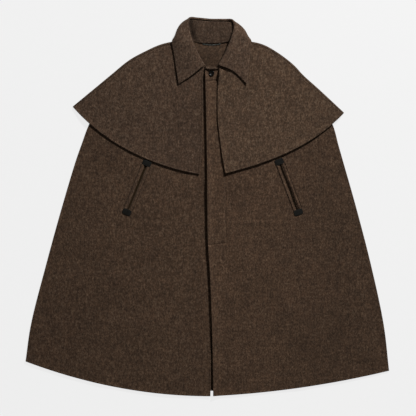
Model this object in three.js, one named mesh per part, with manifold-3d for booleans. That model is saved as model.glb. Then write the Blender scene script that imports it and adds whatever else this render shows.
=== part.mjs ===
// A wool cape coat laid flat on its back: a sleeveless cloak body, a shoulder cape over it, a turned-down collar,
// a fly front closed by one button at the neck, and two slanted welt pockets with leather end tabs.
// Millimetres, +X to the right of the coat as it lies, +Y towards the collar, +Z up, on a surface at z = 0.
// The origin is under the middle of the outline.
import * as THREE from 'three';
import { mergeVertices } from 'three/addons/utils/BufferGeometryUtils.js';
import Module from 'manifold-3d';

// Driving dimensions
const CLOTH = 2.4; // one layer of heavy woollen cloth
const COLLAR_CLOTH = 3.2; // two pressed layers
const SEAM_GAP = 0.3; // between neighbouring pieces
const LAYER = CLOTH + SEAM_GAP;
const EDGE_ROLL = 0.9; // how far a cut edge is rounded off

// The neckline: the fronts follow the deep half of an oval, the backs a shallow arc.
const NECK = { x: 10.7, bodyTop: 478, capeTop: 485, bodyHalf: 78.7, capeHalf: 81.2, frontBottom: 406 };
const BACK_NECK = { body: 481, cape: 476 }; // the middle of each back's neckline

// The cloak's side line, a row for each station from the side of the neck to the hem corner.
const BODY_SIDES = [
  { leftX: -68, leftY: 478, rightX: 89.4, rightY: 478 },
  { leftX: -133, leftY: 463, rightX: 155, rightY: 462 },
  { leftX: -183, leftY: 439, rightX: 202, rightY: 435 },
  { leftX: -228, leftY: 407, rightX: 244, rightY: 400 },
  { leftX: -270, leftY: 364, rightX: 287, rightY: 354 },
  { leftX: -310, leftY: 305, rightX: 330, rightY: 298 },
  { leftX: -344, leftY: 237, rightX: 364, rightY: 237 },
  { leftX: -365.5, leftY: 179, rightX: 380.5, rightY: 179 },
  { leftX: -381, leftY: 135, rightX: 393, rightY: 135 },
  { leftX: -420, leftY: 5, rightX: 430, rightY: 5 },
  { leftX: -468, leftY: -169, rightX: 475, rightY: -169 },
  { leftX: -512, leftY: -343, rightX: 512, rightY: -343 },
  { leftX: -527.5, leftY: -449, rightX: 527.5, rightY: -476 },
];

// Front edges of the two cloak fronts: the right one lies over the left one and parts from it at the hem.
const OVER_EDGE = [
  { x: -7, y: 406 },
  { x: -1.5, y: 135 },
  { x: 1, y: -98 },
  { x: 8, y: -213 },
  { x: 14, y: -387 },
  { x: 17, y: -549.5 },
];
const UNDER_EDGE = [
  { x: 34, y: 406 },
  { x: 28, y: 0 },
  { x: 14, y: -300 },
  { x: 9, y: -550 },
];

// Hems: the point that each curve bends towards, on its way to the side line.
const HEM_BEND = { leftX: -260, leftY: -550, rightX: 272, rightY: -537, backX: 0, backY: -606 };

// The cape's outer fold, a row for each station from the side of the neck to the tip.
const CAPE_SIDES = [
  { leftX: -70.5, leftY: 485, rightX: 91.9, rightY: 485 },
  { leftX: -133, leftY: 471.5, rightX: 159, rightY: 471.5 },
  { leftX: -180, leftY: 451, rightX: 205, rightY: 446.5 },
  { leftX: -227, leftY: 425, rightX: 251, rightY: 411 },
  { leftX: -280, leftY: 382, rightX: 278, rightY: 382 },
  { leftX: -309, leftY: 358, rightX: 323, rightY: 341.5 },
  { leftX: -391, leftY: 290.5, rightX: 397, rightY: 272.5 },
];
const CAPE_LEFT_EDGE = [
  { x: -12.5, y: 406 },
  { x: -14, y: 193 },
  { x: -23, y: 93.5 },
];
const CAPE_RIGHT_EDGE = [
  { x: 29, y: 407 },
  { x: 30, y: 251 },
  { x: 35.5, y: 199 },
  { x: 42.5, y: 147 },
  { x: 52, y: 96 },
];
const CAPE_HEM_BENDS = {
  left: [{ x: -298.6, y: 185.5 }, { x: -170.8, y: 119 }],
  right: [{ x: 300.4, y: 171.7 }, { x: 178, y: 127 }],
};
const CAPE_BACK_DROP = { x: 3, y: -113.5 };
const SHOULDER_STRIP = { atNeck: 7.5, atTip: 3 }; // width of the back cape that shows over the shoulder fold

// How the layers lie on each other
const BACK_RAMP = { start: 14, length: 70 }; // the cloak comes down to the surface below the back cape's hem
const SIDE_LOFT = { height: 1.1, width: 45 }; // the fronts lift off the back, in from the side seam
const OVERLAP_RAMP = { start: 8, length: 34 }; // the over front comes down off the under front's edge
const CAPE_OVERLAP_RAMP = { start: 18, length: 72 }; // and the cape that lies on it comes down more slowly
const FLY_ROLL = { height: 4.8, width: 13, top: 384, fadeIn: 60, hemStart: -350, hemFade: 150, hemShare: 0.4 };
const CAPE_RAMP = { start: 12, length: 50 }; // the cape comes down off the cloak's side line
const CAPE_HEM_LIFT = { height: 2.3, share: 0.3 }; // the free hem stands off the pocket tabs

// The pockets, a row for each: the slit's two ends.
const POCKETS = [
  { name: 'left', topX: -177, topY: 122, footX: -231.5, footY: -10.8 },
  { name: 'right', topX: 210.5, topY: 125.5, footX: 262.3, footY: -11.3 },
];
const WELT = { width: 11.2, slit: 3, rise: 0.35 };
const TAB = { length: 26, width: 17, thickness: 1.5, corner: 4, overSlit: 3.5 };

const BUTTON = { x: 12.2, y: 386.5, radius: 8.3, thickness: 3, dish: 1, rim: 1.8, hole: 0.9, holeOffset: 2 };
const HANG_LOOP = { leftX: -14, rightX: 39, y: 471.2, sag: 4, width: 4, thickness: 1.8 };

// The collar, a row for each station from its front end to the middle of the back, on the left half: the neck seam, the
// roll line, the fullest part of the fall and its outer edge. turn says which side of the standing band the fall lies on:
// -1 above it at the front, 1 below it at the back. The right columns move the right half off the mirrored left half.
const COLLAR_STATIONS = [
  { neck: [-12, 400.5, 13.6], roll: [-8, 410, 18.2], belly: [-47, 379, 21], edge: [-83.5, 354.5, 17],
    turn: -1, rightOut: 10, rightUp: 14, rightLift: 3, rightFullLift: -3, rightEdgeLift: -0.5 },
  { neck: [-32.8, 412, 13.6], roll: [-18.5, 427, 20], belly: [-53, 409, 23], edge: [-88.5, 388, 16.5],
    turn: -1, rightOut: 9, rightUp: 4, rightLift: 3, rightFullLift: -2, rightEdgeLift: -0.5 },
  { neck: [-51.6, 431, 13.6], roll: [-32.8, 454.5, 21.5], belly: [-64, 441, 24.5], edge: [-93.7, 422.5, 16],
    turn: -1, rightOut: 7.5, rightUp: 0, rightLift: 2.2, rightFullLift: -0.5, rightEdgeLift: 0 },
  { neck: [-63, 456, 13.6], roll: [-44, 480.5, 22.5], belly: [-73, 470, 25], edge: [-98.6, 453, 16],
    turn: -0.9, rightOut: 5.5, rightUp: 0, rightLift: 1, rightFullLift: 0, rightEdgeLift: 0.3 },
  { neck: [-66, 477, 13.4], roll: [-51.5, 503.5, 22], belly: [-83, 494, 23], edge: [-102.5, 478.5, 15],
    turn: -0.6, rightOut: 4, rightUp: 0, rightLift: 0.4, rightFullLift: 0.2, rightEdgeLift: 0.2 },
  { neck: [-57, 481, 12], roll: [-56.5, 525, 20], belly: [-86.5, 509.5, 14], edge: [-92, 491, 6],
    turn: 0, rightOut: 3.5, rightUp: 0, rightLift: 0, rightFullLift: 0, rightEdgeLift: 0 },
  { neck: [-42, 479, 9], roll: [-51.5, 544, 14.5], belly: [-70.5, 529, 7], edge: [-74, 493, 2.2],
    turn: 0.8, rightOut: 1, rightUp: 0, rightLift: 0, rightFullLift: 0, rightEdgeLift: 0 },
  { neck: [-22, 475, 7.5], roll: [-27, 545, 10.5], belly: [-34, 530, 2.6], edge: [-37, 490, 1.9],
    turn: 1, rightOut: 0, rightUp: 0, rightLift: 0, rightFullLift: 0, rightEdgeLift: 0 },
  { neck: [10.7, 473.5, 7.3], roll: [10.7, 543.5, 9.5], belly: [10.7, 529, 2.4], edge: [10.7, 488, 1.9],
    turn: 1, rightOut: 0, rightUp: 0, rightLift: 0, rightFullLift: 0, rightEdgeLift: 0 },
];
// The band's right end runs on across the throat with its upper edge leaning out, up to the edge of the over front.
const THROAT_STATIONS = [
  { neck: [17, 404.5, 14.4], top: [17, 399, 18] },
  { neck: [4, 405, 13.6], top: [4, 398.5, 17] },
  { neck: [-5.5, 407, 13.4], top: [-5.5, 401, 16.6] },
];
const THROAT_SECTIONS = 10;
const COLLAR_SKEW = 0.05; // the roll at the back of the neck drops by this much for each step to the right
const ROLL = { reach: 4.2, sideReach: 7.5, halfHeight: 3.5, sideDrop: 1.6, sideEase: 4.2 }; // the rounded fold between band and fall
const COLLAR_SECTIONS = 44;
const FALL_STEPS = [0, 0.1, 0.2, 0.3, 0.4, 0.55, 0.7, 0.85, 1];
const BAND_STEPS = [0, 0.33, 0.66, 1];

// Materials
const wool = new THREE.MeshStandardMaterial({ color: 0x3f3025, roughness: 0.95, metalness: 0 });
const leather = new THREE.MeshStandardMaterial({ color: 0x1c1c19, roughness: 0.7, metalness: 0 });
const horn = new THREE.MeshStandardMaterial({ color: 0x14110f, roughness: 0.3, metalness: 0 });
const tape = new THREE.MeshStandardMaterial({ color: 0x20241f, roughness: 0.6, metalness: 0 });

// Small geometry helpers
const wasm = await Module();
wasm.setup();

const clamp01 = (t) => Math.min(1, Math.max(0, t));
const smooth = (t) => clamp01(t) ** 2 * (3 - 2 * clamp01(t));
const mix = (a, b, t) => a + (b - a) * t;
const flatPoint = (x, y) => new THREE.Vector3(x, y, 0);

function curveThrough(points) {
  return new THREE.CatmullRomCurve3(points, false, 'centripetal');
}

function edgeLine(table) {
  const curve = curveThrough(table.map((row) => flatPoint(row.x, row.y)));
  return (t) => curve.getPointAt(t);
}

function sideLine(table, side) {
  const curve = curveThrough(table.map((row) => flatPoint(row[`${side}X`], row[`${side}Y`])));
  return (t) => curve.getPointAt(t);
}

// A neckline oval from one angle to another, in degrees.
function neckOval(halfWidth, top, fromDegrees, toDegrees) {
  return (t) => {
    const angle = THREE.MathUtils.degToRad(mix(fromDegrees, toDegrees, t));
    return flatPoint(NECK.x + halfWidth * Math.cos(angle), top + (top - NECK.frontBottom) * Math.sin(angle));
  };
}

// The same curve, moved evenly so that it starts and ends at the given points.
function pinned(curve, start, end) {
  const startShift = start.clone().sub(curve(0));
  const endShift = end.clone().sub(curve(1));
  return (t) => curve(t).clone().addScaledVector(startShift, 1 - t).addScaledVector(endShift, t);
}

// A four-sided patch of cloth between its top, bottom, left and right lines: (u, v) runs across and down.
function clothPatch(topLine, bottomLine, left, right) {
  const top = pinned(topLine, left(0), right(0));
  const bottom = pinned(bottomLine, left(1), right(1));
  return (u, v) => {
    const p = top(u).multiplyScalar(1 - v).addScaledVector(bottom(u), v);
    p.addScaledVector(left(v), 1 - u).addScaledVector(right(v), u);
    p.addScaledVector(left(0), -(1 - u) * (1 - v)).addScaledVector(right(0), -u * (1 - v));
    return p.addScaledVector(left(1), -(1 - u) * v).addScaledVector(right(1), -u * v);
  };
}

// Distance from a point to a line given as points, positive on its outer side (outer: 1 to the left of the way, -1 right).
function signedDistance(points, outer, x, y) {
  let best = Infinity;
  let sign = 1;
  for (let i = 1; i < points.length; i += 1) {
    const a = points[i - 1];
    const b = points[i];
    const along = clamp01(((x - a.x) * (b.x - a.x) + (y - a.y) * (b.y - a.y)) / a.distanceToSquared(b));
    const gap = Math.hypot(x - mix(a.x, b.x, along), y - mix(a.y, b.y, along));
    if (gap < best) {
      best = gap;
      sign = Math.sign((b.x - a.x) * (y - a.y) - (b.y - a.y) * (x - a.x)) * outer;
    }
  }
  return best * sign;
}

// A closed wall between two grids of points: its edges are drawn in and close on a line at half thickness.
function wallGeometry(face, back) {
  const rows = face.length;
  const cols = face[0].length;
  const middle = face.map((row, i) => row.map((p, j) => p.clone().add(back[i][j]).multiplyScalar(0.5)));
  const positions = [];
  const place = (p) => positions.push(p.x, p.y, p.z) / 3 - 1;
  const drawnIn = (grid, i, j) => {
    const p = grid[i][j].clone();
    const inner = [];
    if (i === 0) inner.push(middle[1][j]);
    if (i === rows - 1) inner.push(middle[rows - 2][j]);
    if (j === 0) inner.push(middle[i][1]);
    if (j === cols - 1) inner.push(middle[i][cols - 2]);
    inner.forEach((q) => p.addScaledVector(q.clone().sub(middle[i][j]).normalize(), EDGE_ROLL));
    return p;
  };
  const faceIndex = face.map((row, i) => row.map((_, j) => place(drawnIn(face, i, j))));
  const backIndex = back.map((row, i) => row.map((_, j) => place(drawnIn(back, i, j))));
  const index = [];
  const quad = (a, b, c, d) => index.push(a, b, c, a, c, d);
  for (let i = 0; i < rows - 1; i += 1) {
    for (let j = 0; j < cols - 1; j += 1) {
      quad(faceIndex[i][j], faceIndex[i + 1][j], faceIndex[i + 1][j + 1], faceIndex[i][j + 1]);
      quad(backIndex[i][j], backIndex[i][j + 1], backIndex[i + 1][j + 1], backIndex[i + 1][j]);
    }
  }
  const loop = [];
  for (let j = 0; j < cols - 1; j += 1) loop.push([0, j]);
  for (let i = 0; i < rows - 1; i += 1) loop.push([i, cols - 1]);
  for (let j = cols - 1; j > 0; j -= 1) loop.push([rows - 1, j]);
  for (let i = rows - 1; i > 0; i -= 1) loop.push([i, 0]);
  const rim = loop.map(([i, j]) => place(middle[i][j]));
  loop.forEach(([i, j], k) => {
    const next = (k + 1) % loop.length;
    const [m, n] = loop[next];
    quad(faceIndex[i][j], faceIndex[m][n], rim[next], rim[k]);
    quad(rim[k], rim[next], backIndex[m][n], backIndex[i][j]);
  });
  const geometry = new THREE.BufferGeometry();
  geometry.setAttribute('position', new THREE.Float32BufferAttribute(positions, 3));
  geometry.setIndex(index);
  return facingOut(geometry);
}

function facingOut(geometry) {
  const p = geometry.getAttribute('position');
  const index = geometry.index.array;
  const [a, b, c] = [new THREE.Vector3(), new THREE.Vector3(), new THREE.Vector3()];
  let volume = 0;
  for (let i = 0; i < index.length; i += 3) {
    [a, b, c].forEach((v, k) => v.fromBufferAttribute(p, index[i + k]));
    volume += a.dot(b.clone().cross(c));
  }
  if (volume < 0) geometry.setIndex(Array.from(index).reverse());
  geometry.computeVertexNormals();
  return geometry;
}

// A panel of cloth lying on what is under it.
function layPanel(patch, across, down, under, thickness = CLOTH) {
  const face = [];
  const back = [];
  down.forEach((v) => {
    const points = across.map((u) => {
      const p = patch(u, v);
      p.z = under(p.x, p.y, u, v);
      return p;
    });
    back.push(points);
    face.push(points.map((p) => flatPoint(p.x, p.y).setZ(p.z + thickness)));
  });
  return wallGeometry(face, back);
}

// A wall of even thickness about a grid of points in its middle surface.
function wallAbout(grid, thickness) {
  const rows = grid.length;
  const cols = grid[0].length;
  const normalAt = (i, j) => {
    const down = grid[Math.min(i + 1, rows - 1)][j].clone().sub(grid[Math.max(i - 1, 0)][j]);
    const across = grid[i][Math.min(j + 1, cols - 1)].clone().sub(grid[i][Math.max(j - 1, 0)]);
    return across.cross(down).normalize();
  };
  const moved = (side) =>
    grid.map((row, i) => row.map((p, j) => p.clone().addScaledVector(normalAt(i, j), (side * thickness) / 2)));
  return wallGeometry(moved(1), moved(-1));
}

function toManifold(geometry) {
  const bare = geometry.index ? geometry.toNonIndexed() : geometry.clone();
  bare.deleteAttribute('normal');
  bare.deleteAttribute('uv');
  const merged = mergeVertices(bare, 1e-3);
  return new wasm.Manifold(new wasm.Mesh({
    numProp: 3,
    vertProperties: merged.attributes.position.array,
    triVerts: new Uint32Array(merged.index.array),
  }));
}

function fromManifold(solid) {
  const mesh = solid.getMesh();
  const geometry = new THREE.BufferGeometry();
  geometry.setAttribute('position', new THREE.BufferAttribute(Float32Array.from(mesh.vertProperties), 3));
  geometry.setIndex(Array.from(mesh.triVerts));
  geometry.computeVertexNormals();
  return geometry;
}

// How many steps, closer together where a ramp or an edge needs them.
const evenSteps = (from, to, count) => Array.from({ length: count + 1 }, (_, i) => mix(from, to, i / count));
const BODY_DOWN = [...evenSteps(0, 0.3, 8), ...evenSteps(0.325, 0.47, 7), ...evenSteps(0.51, 1, 12)];
const FRONT_ACROSS = [...evenSteps(0, 0.12, 3), ...evenSteps(0.2, 0.84, 7), ...evenSteps(0.87, 1, 6)];
const BACK_ACROSS = [...evenSteps(0, 0.06, 3), ...evenSteps(0.11, 0.89, 14), ...evenSteps(0.94, 1, 3)];
const CAPE_DOWN = evenSteps(0, 1, 15);
const CAPE_ACROSS = [...evenSteps(0, 0.36, 6), ...evenSteps(0.45, 0.9, 5), ...evenSteps(0.94, 1, 2)];
const CAPE_BACK_ACROSS = evenSteps(0, 1, 18);
const WRAP_STEPS = 4;

// Outline lines
const bodyLeft = sideLine(BODY_SIDES, 'left');
const bodyRight = sideLine(BODY_SIDES, 'right');
const overEdge = edgeLine(OVER_EDGE);
const underEdge = edgeLine(UNDER_EDGE);
const capeLeft = sideLine(CAPE_SIDES, 'left');
const capeRight = sideLine(CAPE_SIDES, 'right');
const SAMPLES = 160;
const sampled = (line) => evenSteps(0, 1, SAMPLES).map((t) => line(t));
const bodyLeftPoints = sampled(bodyLeft);
const bodyRightPoints = sampled(bodyRight);
const underEdgePoints = sampled(underEdge);
const overEdgePoints = sampled(overEdge);
const offBodyLeft = (x, y) => signedDistance(bodyLeftPoints, -1, x, y);
const offBodyRight = (x, y) => signedDistance(bodyRightPoints, 1, x, y);

const bend = (start, middle, end) => {
  const curve = new THREE.QuadraticBezierCurve3(start, middle, end);
  return (t) => curve.getPoint(t);
};
const capeBackHem = bend(capeLeft(1), flatPoint(CAPE_BACK_DROP.x, CAPE_BACK_DROP.y), capeRight(1));

// Heights of the layers, from the surface up
function capeBackCover(x, y) {
  const hemY = capeBackHem(clamp01((x - capeLeft(1).x) / (capeRight(1).x - capeLeft(1).x))).y;
  return 1 - smooth((hemY - y - BACK_RAMP.start) / BACK_RAMP.length);
}
const underBack = (x, y) => LAYER * capeBackCover(x, y);
const sideLoft = (off) => SIDE_LOFT.height * smooth(-off / SIDE_LOFT.width);
const underFront = (x, y) => underBack(x, y) + LAYER + sideLoft(Math.max(offBodyLeft(x, y), offBodyRight(x, y)));
const offUnderEdge = (ramp) => (x, y) => {
  const past = signedDistance(underEdgePoints, 1, x, y);
  return underFront(x, y) + LAYER * (1 - smooth((past - ramp.start) / ramp.length));
};
// The over front's folded edge is several layers thick and stands off the under front.
function flyRoll(x, y) {
  const { height, width, top, fadeIn, hemStart, hemFade, hemShare } = FLY_ROLL;
  const off = signedDistance(overEdgePoints, 1, x, y);
  const along = smooth((top - y) / fadeIn) * mix(1, hemShare, smooth((hemStart - y) / hemFade));
  return height * Math.exp(-((off / width) ** 2)) * along;
}
const underFlyEdge = offUnderEdge(OVERLAP_RAMP);
const underOverFront = (x, y) => underFlyEdge(x, y) + flyRoll(x, y);
const underCapeOverlap = offUnderEdge(CAPE_OVERLAP_RAMP);
function underCape(x, y, v, off, underBody) {
  const onBody = 1 - smooth((off - CAPE_RAMP.start) / CAPE_RAMP.length);
  const hemLift = CAPE_HEM_LIFT.height * smooth((v - 1 + CAPE_HEM_LIFT.share) / CAPE_HEM_LIFT.share);
  return mix(LAYER, underBody + LAYER + hemLift, onBody);
}
const underCapeLeft = (x, y, v) => underCape(x, y, v, offBodyLeft(x, y), underFront(x, y));
const underCapeRight = (x, y, v) => underCape(x, y, v, offBodyRight(x, y), underCapeOverlap(x, y));

// The cape's shoulder fold at one station: the fold line, the way in from it, how high the layers stand and where the
// seam to the front cape lies.
function shoulderFold(line, outer, underSide, v) {
  const step = 0.01;
  const way = line(Math.min(1, v + step)).sub(line(Math.max(0, v - step))).normalize();
  const inward = new THREE.Vector3(way.y * outer, -way.x * outer, 0);
  const point = line(v);
  const strip = mix(SHOULDER_STRIP.atNeck, SHOULDER_STRIP.atTip, v);
  const inside = point.clone().addScaledVector(inward, strip);
  const height = underSide(inside.x, inside.y, v) + CLOTH;
  return { point, inward, height, strip: Math.max(strip, height / 2 + 0.4) };
}
const leftFold = (v) => shoulderFold(capeLeft, -1, underCapeLeft, v);
const rightFold = (v) => shoulderFold(capeRight, 1, underCapeRight, v);
const seamLine = (fold) => (v) => {
  const at = fold(v);
  return at.point.clone().addScaledVector(at.inward, at.strip + SEAM_GAP);
};

// The back cape: flat on the surface, and wrapped up over the body at both shoulder folds.
function capeBackGeometry() {
  const inner = [];
  const outer = [];
  const neckArc = bend(capeLeft(0), flatPoint(NECK.x, 2 * BACK_NECK.cape - NECK.capeTop), capeRight(0));
  const patch = clothPatch(neckArc, capeBackHem, capeLeft, capeRight);
  CAPE_DOWN.forEach((v) => {
    const rowInner = [];
    const rowOuter = [];
    const wrap = (at) => {
      const radius = (at.height - CLOTH) / 2;
      const centre = at.point.clone().addScaledVector(at.inward, CLOTH / 2 + radius).setZ(at.height / 2);
      const spoke = (angle, r) => centre.clone()
        .addScaledVector(at.inward, -r * Math.cos(angle)).add(new THREE.Vector3(0, 0, r * Math.sin(angle)));
      const seam = (z) => at.point.clone().addScaledVector(at.inward, at.strip).setZ(z);
      const inside = [seam(at.height - CLOTH)];
      const outside = [seam(at.height)];
      for (let k = 0; k <= WRAP_STEPS; k += 1) {
        const angle = Math.PI / 2 - (Math.PI * k) / WRAP_STEPS;
        inside.push(spoke(angle, radius - CLOTH / 2));
        outside.push(spoke(angle, radius + CLOTH / 2));
      }
      return { inside, outside, foot: centre };
    };
    const left = wrap(leftFold(v));
    const right = wrap(rightFold(v));
    const start = patch(0, v);
    const end = patch(1, v);
    const flat = CAPE_BACK_ACROSS.slice(1, -1).map((u) => {
      const p = patch(u, v);
      p.addScaledVector(left.foot.clone().setZ(0).sub(start), 1 - u);
      return p.addScaledVector(right.foot.clone().setZ(0).sub(end), u);
    });
    rowInner.push(...left.inside, ...flat.map((p) => p.clone().setZ(CLOTH)), ...right.inside.reverse());
    rowOuter.push(...left.outside, ...flat.map((p) => p.clone().setZ(0)), ...right.outside.reverse());
    inner.push(rowInner);
    outer.push(rowOuter);
  });
  return wallGeometry(inner, outer);
}

// The cloak
const backNeck = bend(bodyLeft(0), flatPoint(NECK.x, 2 * BACK_NECK.body - NECK.bodyTop), bodyRight(0));
const backHem = bend(bodyLeft(1), flatPoint(HEM_BEND.backX, HEM_BEND.backY), bodyRight(1));
const backGeometry = () =>
  layPanel(clothPatch(backNeck, backHem, bodyLeft, bodyRight), BACK_ACROSS, BODY_DOWN, underBack);

const underFrontPatch = clothPatch(
  neckOval(NECK.bodyHalf, NECK.bodyTop, 180, 287),
  bend(bodyLeft(1), flatPoint(HEM_BEND.leftX, HEM_BEND.leftY), underEdge(1)),
  bodyLeft,
  underEdge,
);
const overFrontPatch = clothPatch(
  neckOval(NECK.bodyHalf, NECK.bodyTop, 257, 360),
  bend(overEdge(1), flatPoint(HEM_BEND.rightX, HEM_BEND.rightY), bodyRight(1)),
  overEdge,
  bodyRight,
);

// The cape fronts
function capeLeftPatch() {
  const seam = seamLine(leftFold);
  const edge = edgeLine(CAPE_LEFT_EDGE);
  const [first, second] = CAPE_HEM_BENDS.left.map((p) => flatPoint(p.x, p.y));
  const hem = new THREE.CubicBezierCurve3(seam(1), first, second, edge(1));
  return clothPatch(neckOval(NECK.capeHalf, NECK.capeTop, 180, 253), (t) => hem.getPoint(t), seam, edge);
}
function capeRightPatch() {
  const seam = seamLine(rightFold);
  const edge = edgeLine(CAPE_RIGHT_EDGE);
  const [first, second] = CAPE_HEM_BENDS.right.map((p) => flatPoint(p.x, p.y));
  const hem = new THREE.CubicBezierCurve3(edge(1), second, first, seam(1));
  return clothPatch(neckOval(NECK.capeHalf, NECK.capeTop, 283, 360), (t) => hem.getPoint(t), edge, seam);
}

// The pocket's own axes: along runs down the slit and out across it.
function pocketFrame(pocket) {
  const top = flatPoint(pocket.topX, pocket.topY);
  const along = flatPoint(pocket.footX, pocket.footY).sub(top);
  const length = along.length();
  along.normalize();
  const out = new THREE.Vector3(-along.y, along.x, 0);
  return { length, at: (s, w) => top.clone().addScaledVector(along, s).addScaledVector(out, w) };
}

// The front with an upright slot cut through it for the welts.
function withPocketSlot(geometry, pocket) {
  const frame = pocketFrame(pocket);
  const half = WELT.slit / 2 + WELT.width + SEAM_GAP;
  const outline = new THREE.Shape([
    frame.at(-SEAM_GAP, -half), frame.at(frame.length + SEAM_GAP, -half),
    frame.at(frame.length + SEAM_GAP, half), frame.at(-SEAM_GAP, half),
  ].map((p) => new THREE.Vector2(p.x, p.y)));
  const depth = 40;
  const cutter = new THREE.ExtrudeGeometry(outline, { depth, bevelEnabled: false }).translate(0, 0, -depth / 2);
  return fromManifold(toManifold(geometry).subtract(toManifold(cutter)));
}

function weltGeometry(pocket, side, underPanel) {
  const frame = pocketFrame(pocket);
  const widths = [0, 0.5, 1].map((t) => side * mix(WELT.slit / 2, WELT.slit / 2 + WELT.width, t));
  const lengths = evenSteps(0, frame.length, 6);
  const back = lengths.map((s) => widths.map((w) => {
    const p = frame.at(s, w);
    return p.setZ(underPanel(p.x, p.y) + WELT.rise);
  }));
  return wallGeometry(back.map((row) => row.map((p) => p.clone().setZ(p.z + CLOTH))), back);
}

// A leather tab across one end of the slit, laid on the front's points and moved out.
function tabGeometry(pocket, end, underPanel) {
  const frame = pocketFrame(pocket);
  const past = TAB.width / 2 - TAB.overSlit;
  const centre = end === 'top' ? -past : frame.length + past;
  const lift = CLOTH + WELT.rise + SEAM_GAP;
  const rows = evenSteps(-1, 1, 4);
  const cols = evenSteps(-1, 1, 6);
  const back = rows.map((a) => cols.map((b) => {
    const narrow = Math.abs(a) === 1 ? 1 - TAB.corner / TAB.length : 1;
    const p = frame.at(centre + (a * TAB.width) / 2, (b * narrow * TAB.length) / 2);
    return p.setZ(underPanel(p.x, p.y) + lift);
  }));
  return wallGeometry(back.map((row) => row.map((p) => p.clone().setZ(p.z + TAB.thickness))), back);
}

// The collar
function collarStations() {
  const mirrored = COLLAR_STATIONS.slice(0, -1).reverse().map((row) => {
    const flip = ([x, y, z], lift, out = 0, up = 0) => [2 * NECK.x - x + out, y + up, z + lift];
    return {
      neck: flip(row.neck, row.rightLift),
      roll: flip(row.roll, row.rightLift, row.rightOut * 0.3),
      belly: flip(row.belly, row.rightFullLift, row.rightOut * 0.6, row.rightUp),
      edge: flip(row.edge, row.rightEdgeLift, row.rightOut),
      turn: row.turn,
    };
  });
  const skewed = ([x, y, z]) => [x, y - COLLAR_SKEW * (x - NECK.x) * smooth((y - 490) / 40), z];
  return [...COLLAR_STATIONS, ...mirrored].map((row) => ({ ...row, roll: skewed(row.roll), belly: skewed(row.belly) }));
}
function collarSections() {
  const stations = collarStations();
  const lineOf = (part) => curveThrough(stations.map((row) => new THREE.Vector3(...row[part])));
  const lines = { neck: lineOf('neck'), roll: lineOf('roll'), belly: lineOf('belly'), edge: lineOf('edge') };
  return evenSteps(0, 1, COLLAR_SECTIONS).map((t) => {
    const place = t * (stations.length - 1);
    const before = Math.min(stations.length - 2, Math.floor(place));
    const turn = mix(stations[before].turn, stations[before + 1].turn, smooth(place - before));
    const [neck, roll, belly, edge] = [lines.neck, lines.roll, lines.belly, lines.edge].map((line) => line.getPoint(t));
    const upright = 1 - Math.abs(turn);
    const reach = mix(ROLL.reach, ROLL.sideReach, upright);
    const towards = (target, rise) => target.clone().sub(roll).setZ(0).normalize().multiplyScalar(reach).setZ(rise);
    const bandTop = roll.clone().add(towards(neck, turn * ROLL.halfHeight - upright * ROLL.sideDrop));
    const crest = roll.clone().add(towards(belly, -turn * ROLL.halfHeight));
    return { neck, bandTop, upright, fall: curveThrough([bandTop, roll, crest, belly, edge]) };
  });
}
function collarFallGeometry() {
  return wallAbout(collarSections().map((at) => FALL_STEPS.map((t) => at.fall.getPoint(t))), COLLAR_CLOTH);
}
function collarBandGeometry() {
  const ring = collarSections().map((at) => {
    const way = at.bandTop.clone().sub(at.neck);
    const bendAngle = way.angleTo(at.fall.getPoint(FALL_STEPS[1]).sub(at.bandTop));
    const mitre = (COLLAR_CLOTH / 2) * Math.tan(bendAngle / 2);
    const reach = (way.length() - SEAM_GAP - mitre - at.upright * ROLL.sideEase) / way.length();
    return { neck: at.neck, top: at.neck.clone().addScaledVector(way, reach) };
  });
  const throat = THROAT_STATIONS.map((row) => ({ neck: new THREE.Vector3(...row.neck), top: new THREE.Vector3(...row.top) }));
  const endOf = (part) => curveThrough([...ring.slice(-3), ...throat].map((at) => at[part]));
  const [neckEnd, topEnd] = [endOf('neck'), endOf('top')];
  const lengths = evenSteps(0, 1, THROAT_SECTIONS).slice(1);
  const joined = [...ring.slice(0, -2), ...lengths.map((t) => ({ neck: neckEnd.getPoint(t), top: topEnd.getPoint(t) }))];
  return wallAbout(joined.map((at) => BAND_STEPS.map((t) => at.neck.clone().lerp(at.top, t))), COLLAR_CLOTH);
}

// The button: a dished disc with four sewing holes
function buttonGeometry() {
  const { radius, thickness, dish, rim, hole, holeOffset } = BUTTON;
  const profile = [[0, 0], [radius - 0.8, 0], [radius, 0.8], [radius, thickness - 0.7], [radius - 0.7, thickness],
    [radius - rim, thickness], [radius - rim - 0.7, thickness - dish], [0, thickness - dish]];
  const disc = new THREE.LatheGeometry(profile.map(([r, z]) => new THREE.Vector2(r, z)), 28).rotateX(Math.PI / 2);
  let solid = toManifold(disc);
  [[1, 1], [-1, 1], [-1, -1], [1, -1]].forEach(([a, b]) => {
    const drill = new THREE.CylinderGeometry(hole, hole, thickness * 3, 8).rotateX(Math.PI / 2);
    drill.translate((a * holeOffset) / Math.SQRT2, (b * holeOffset) / Math.SQRT2, 0);
    solid = solid.subtract(toManifold(drill));
  });
  return fromManifold(solid);
}

// The hang loop: a flat tape sewn in at both ends, hanging in front of the neck seam
function hangLoopGeometry() {
  const top = (x, y) => underBack(x, y) + CLOTH + SEAM_GAP;
  const rows = evenSteps(0, 1, 10).map((t) => {
    const x = mix(HANG_LOOP.leftX, HANG_LOOP.rightX, t);
    const y = HANG_LOOP.y - HANG_LOOP.sag * Math.sin(Math.PI * t);
    return [-0.5, 0.5].map((w) => flatPoint(x, y - w * HANG_LOOP.width).setZ(top(x, y)));
  });
  return wallGeometry(rows.map((row) => row.map((p) => p.clone().setZ(p.z + HANG_LOOP.thickness))), rows);
}

// The coat
const coat = new THREE.Group();
function add(name, geometry, material) {
  const mesh = new THREE.Mesh(geometry, material);
  mesh.name = name;
  coat.add(mesh);
  return mesh;
}

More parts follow.
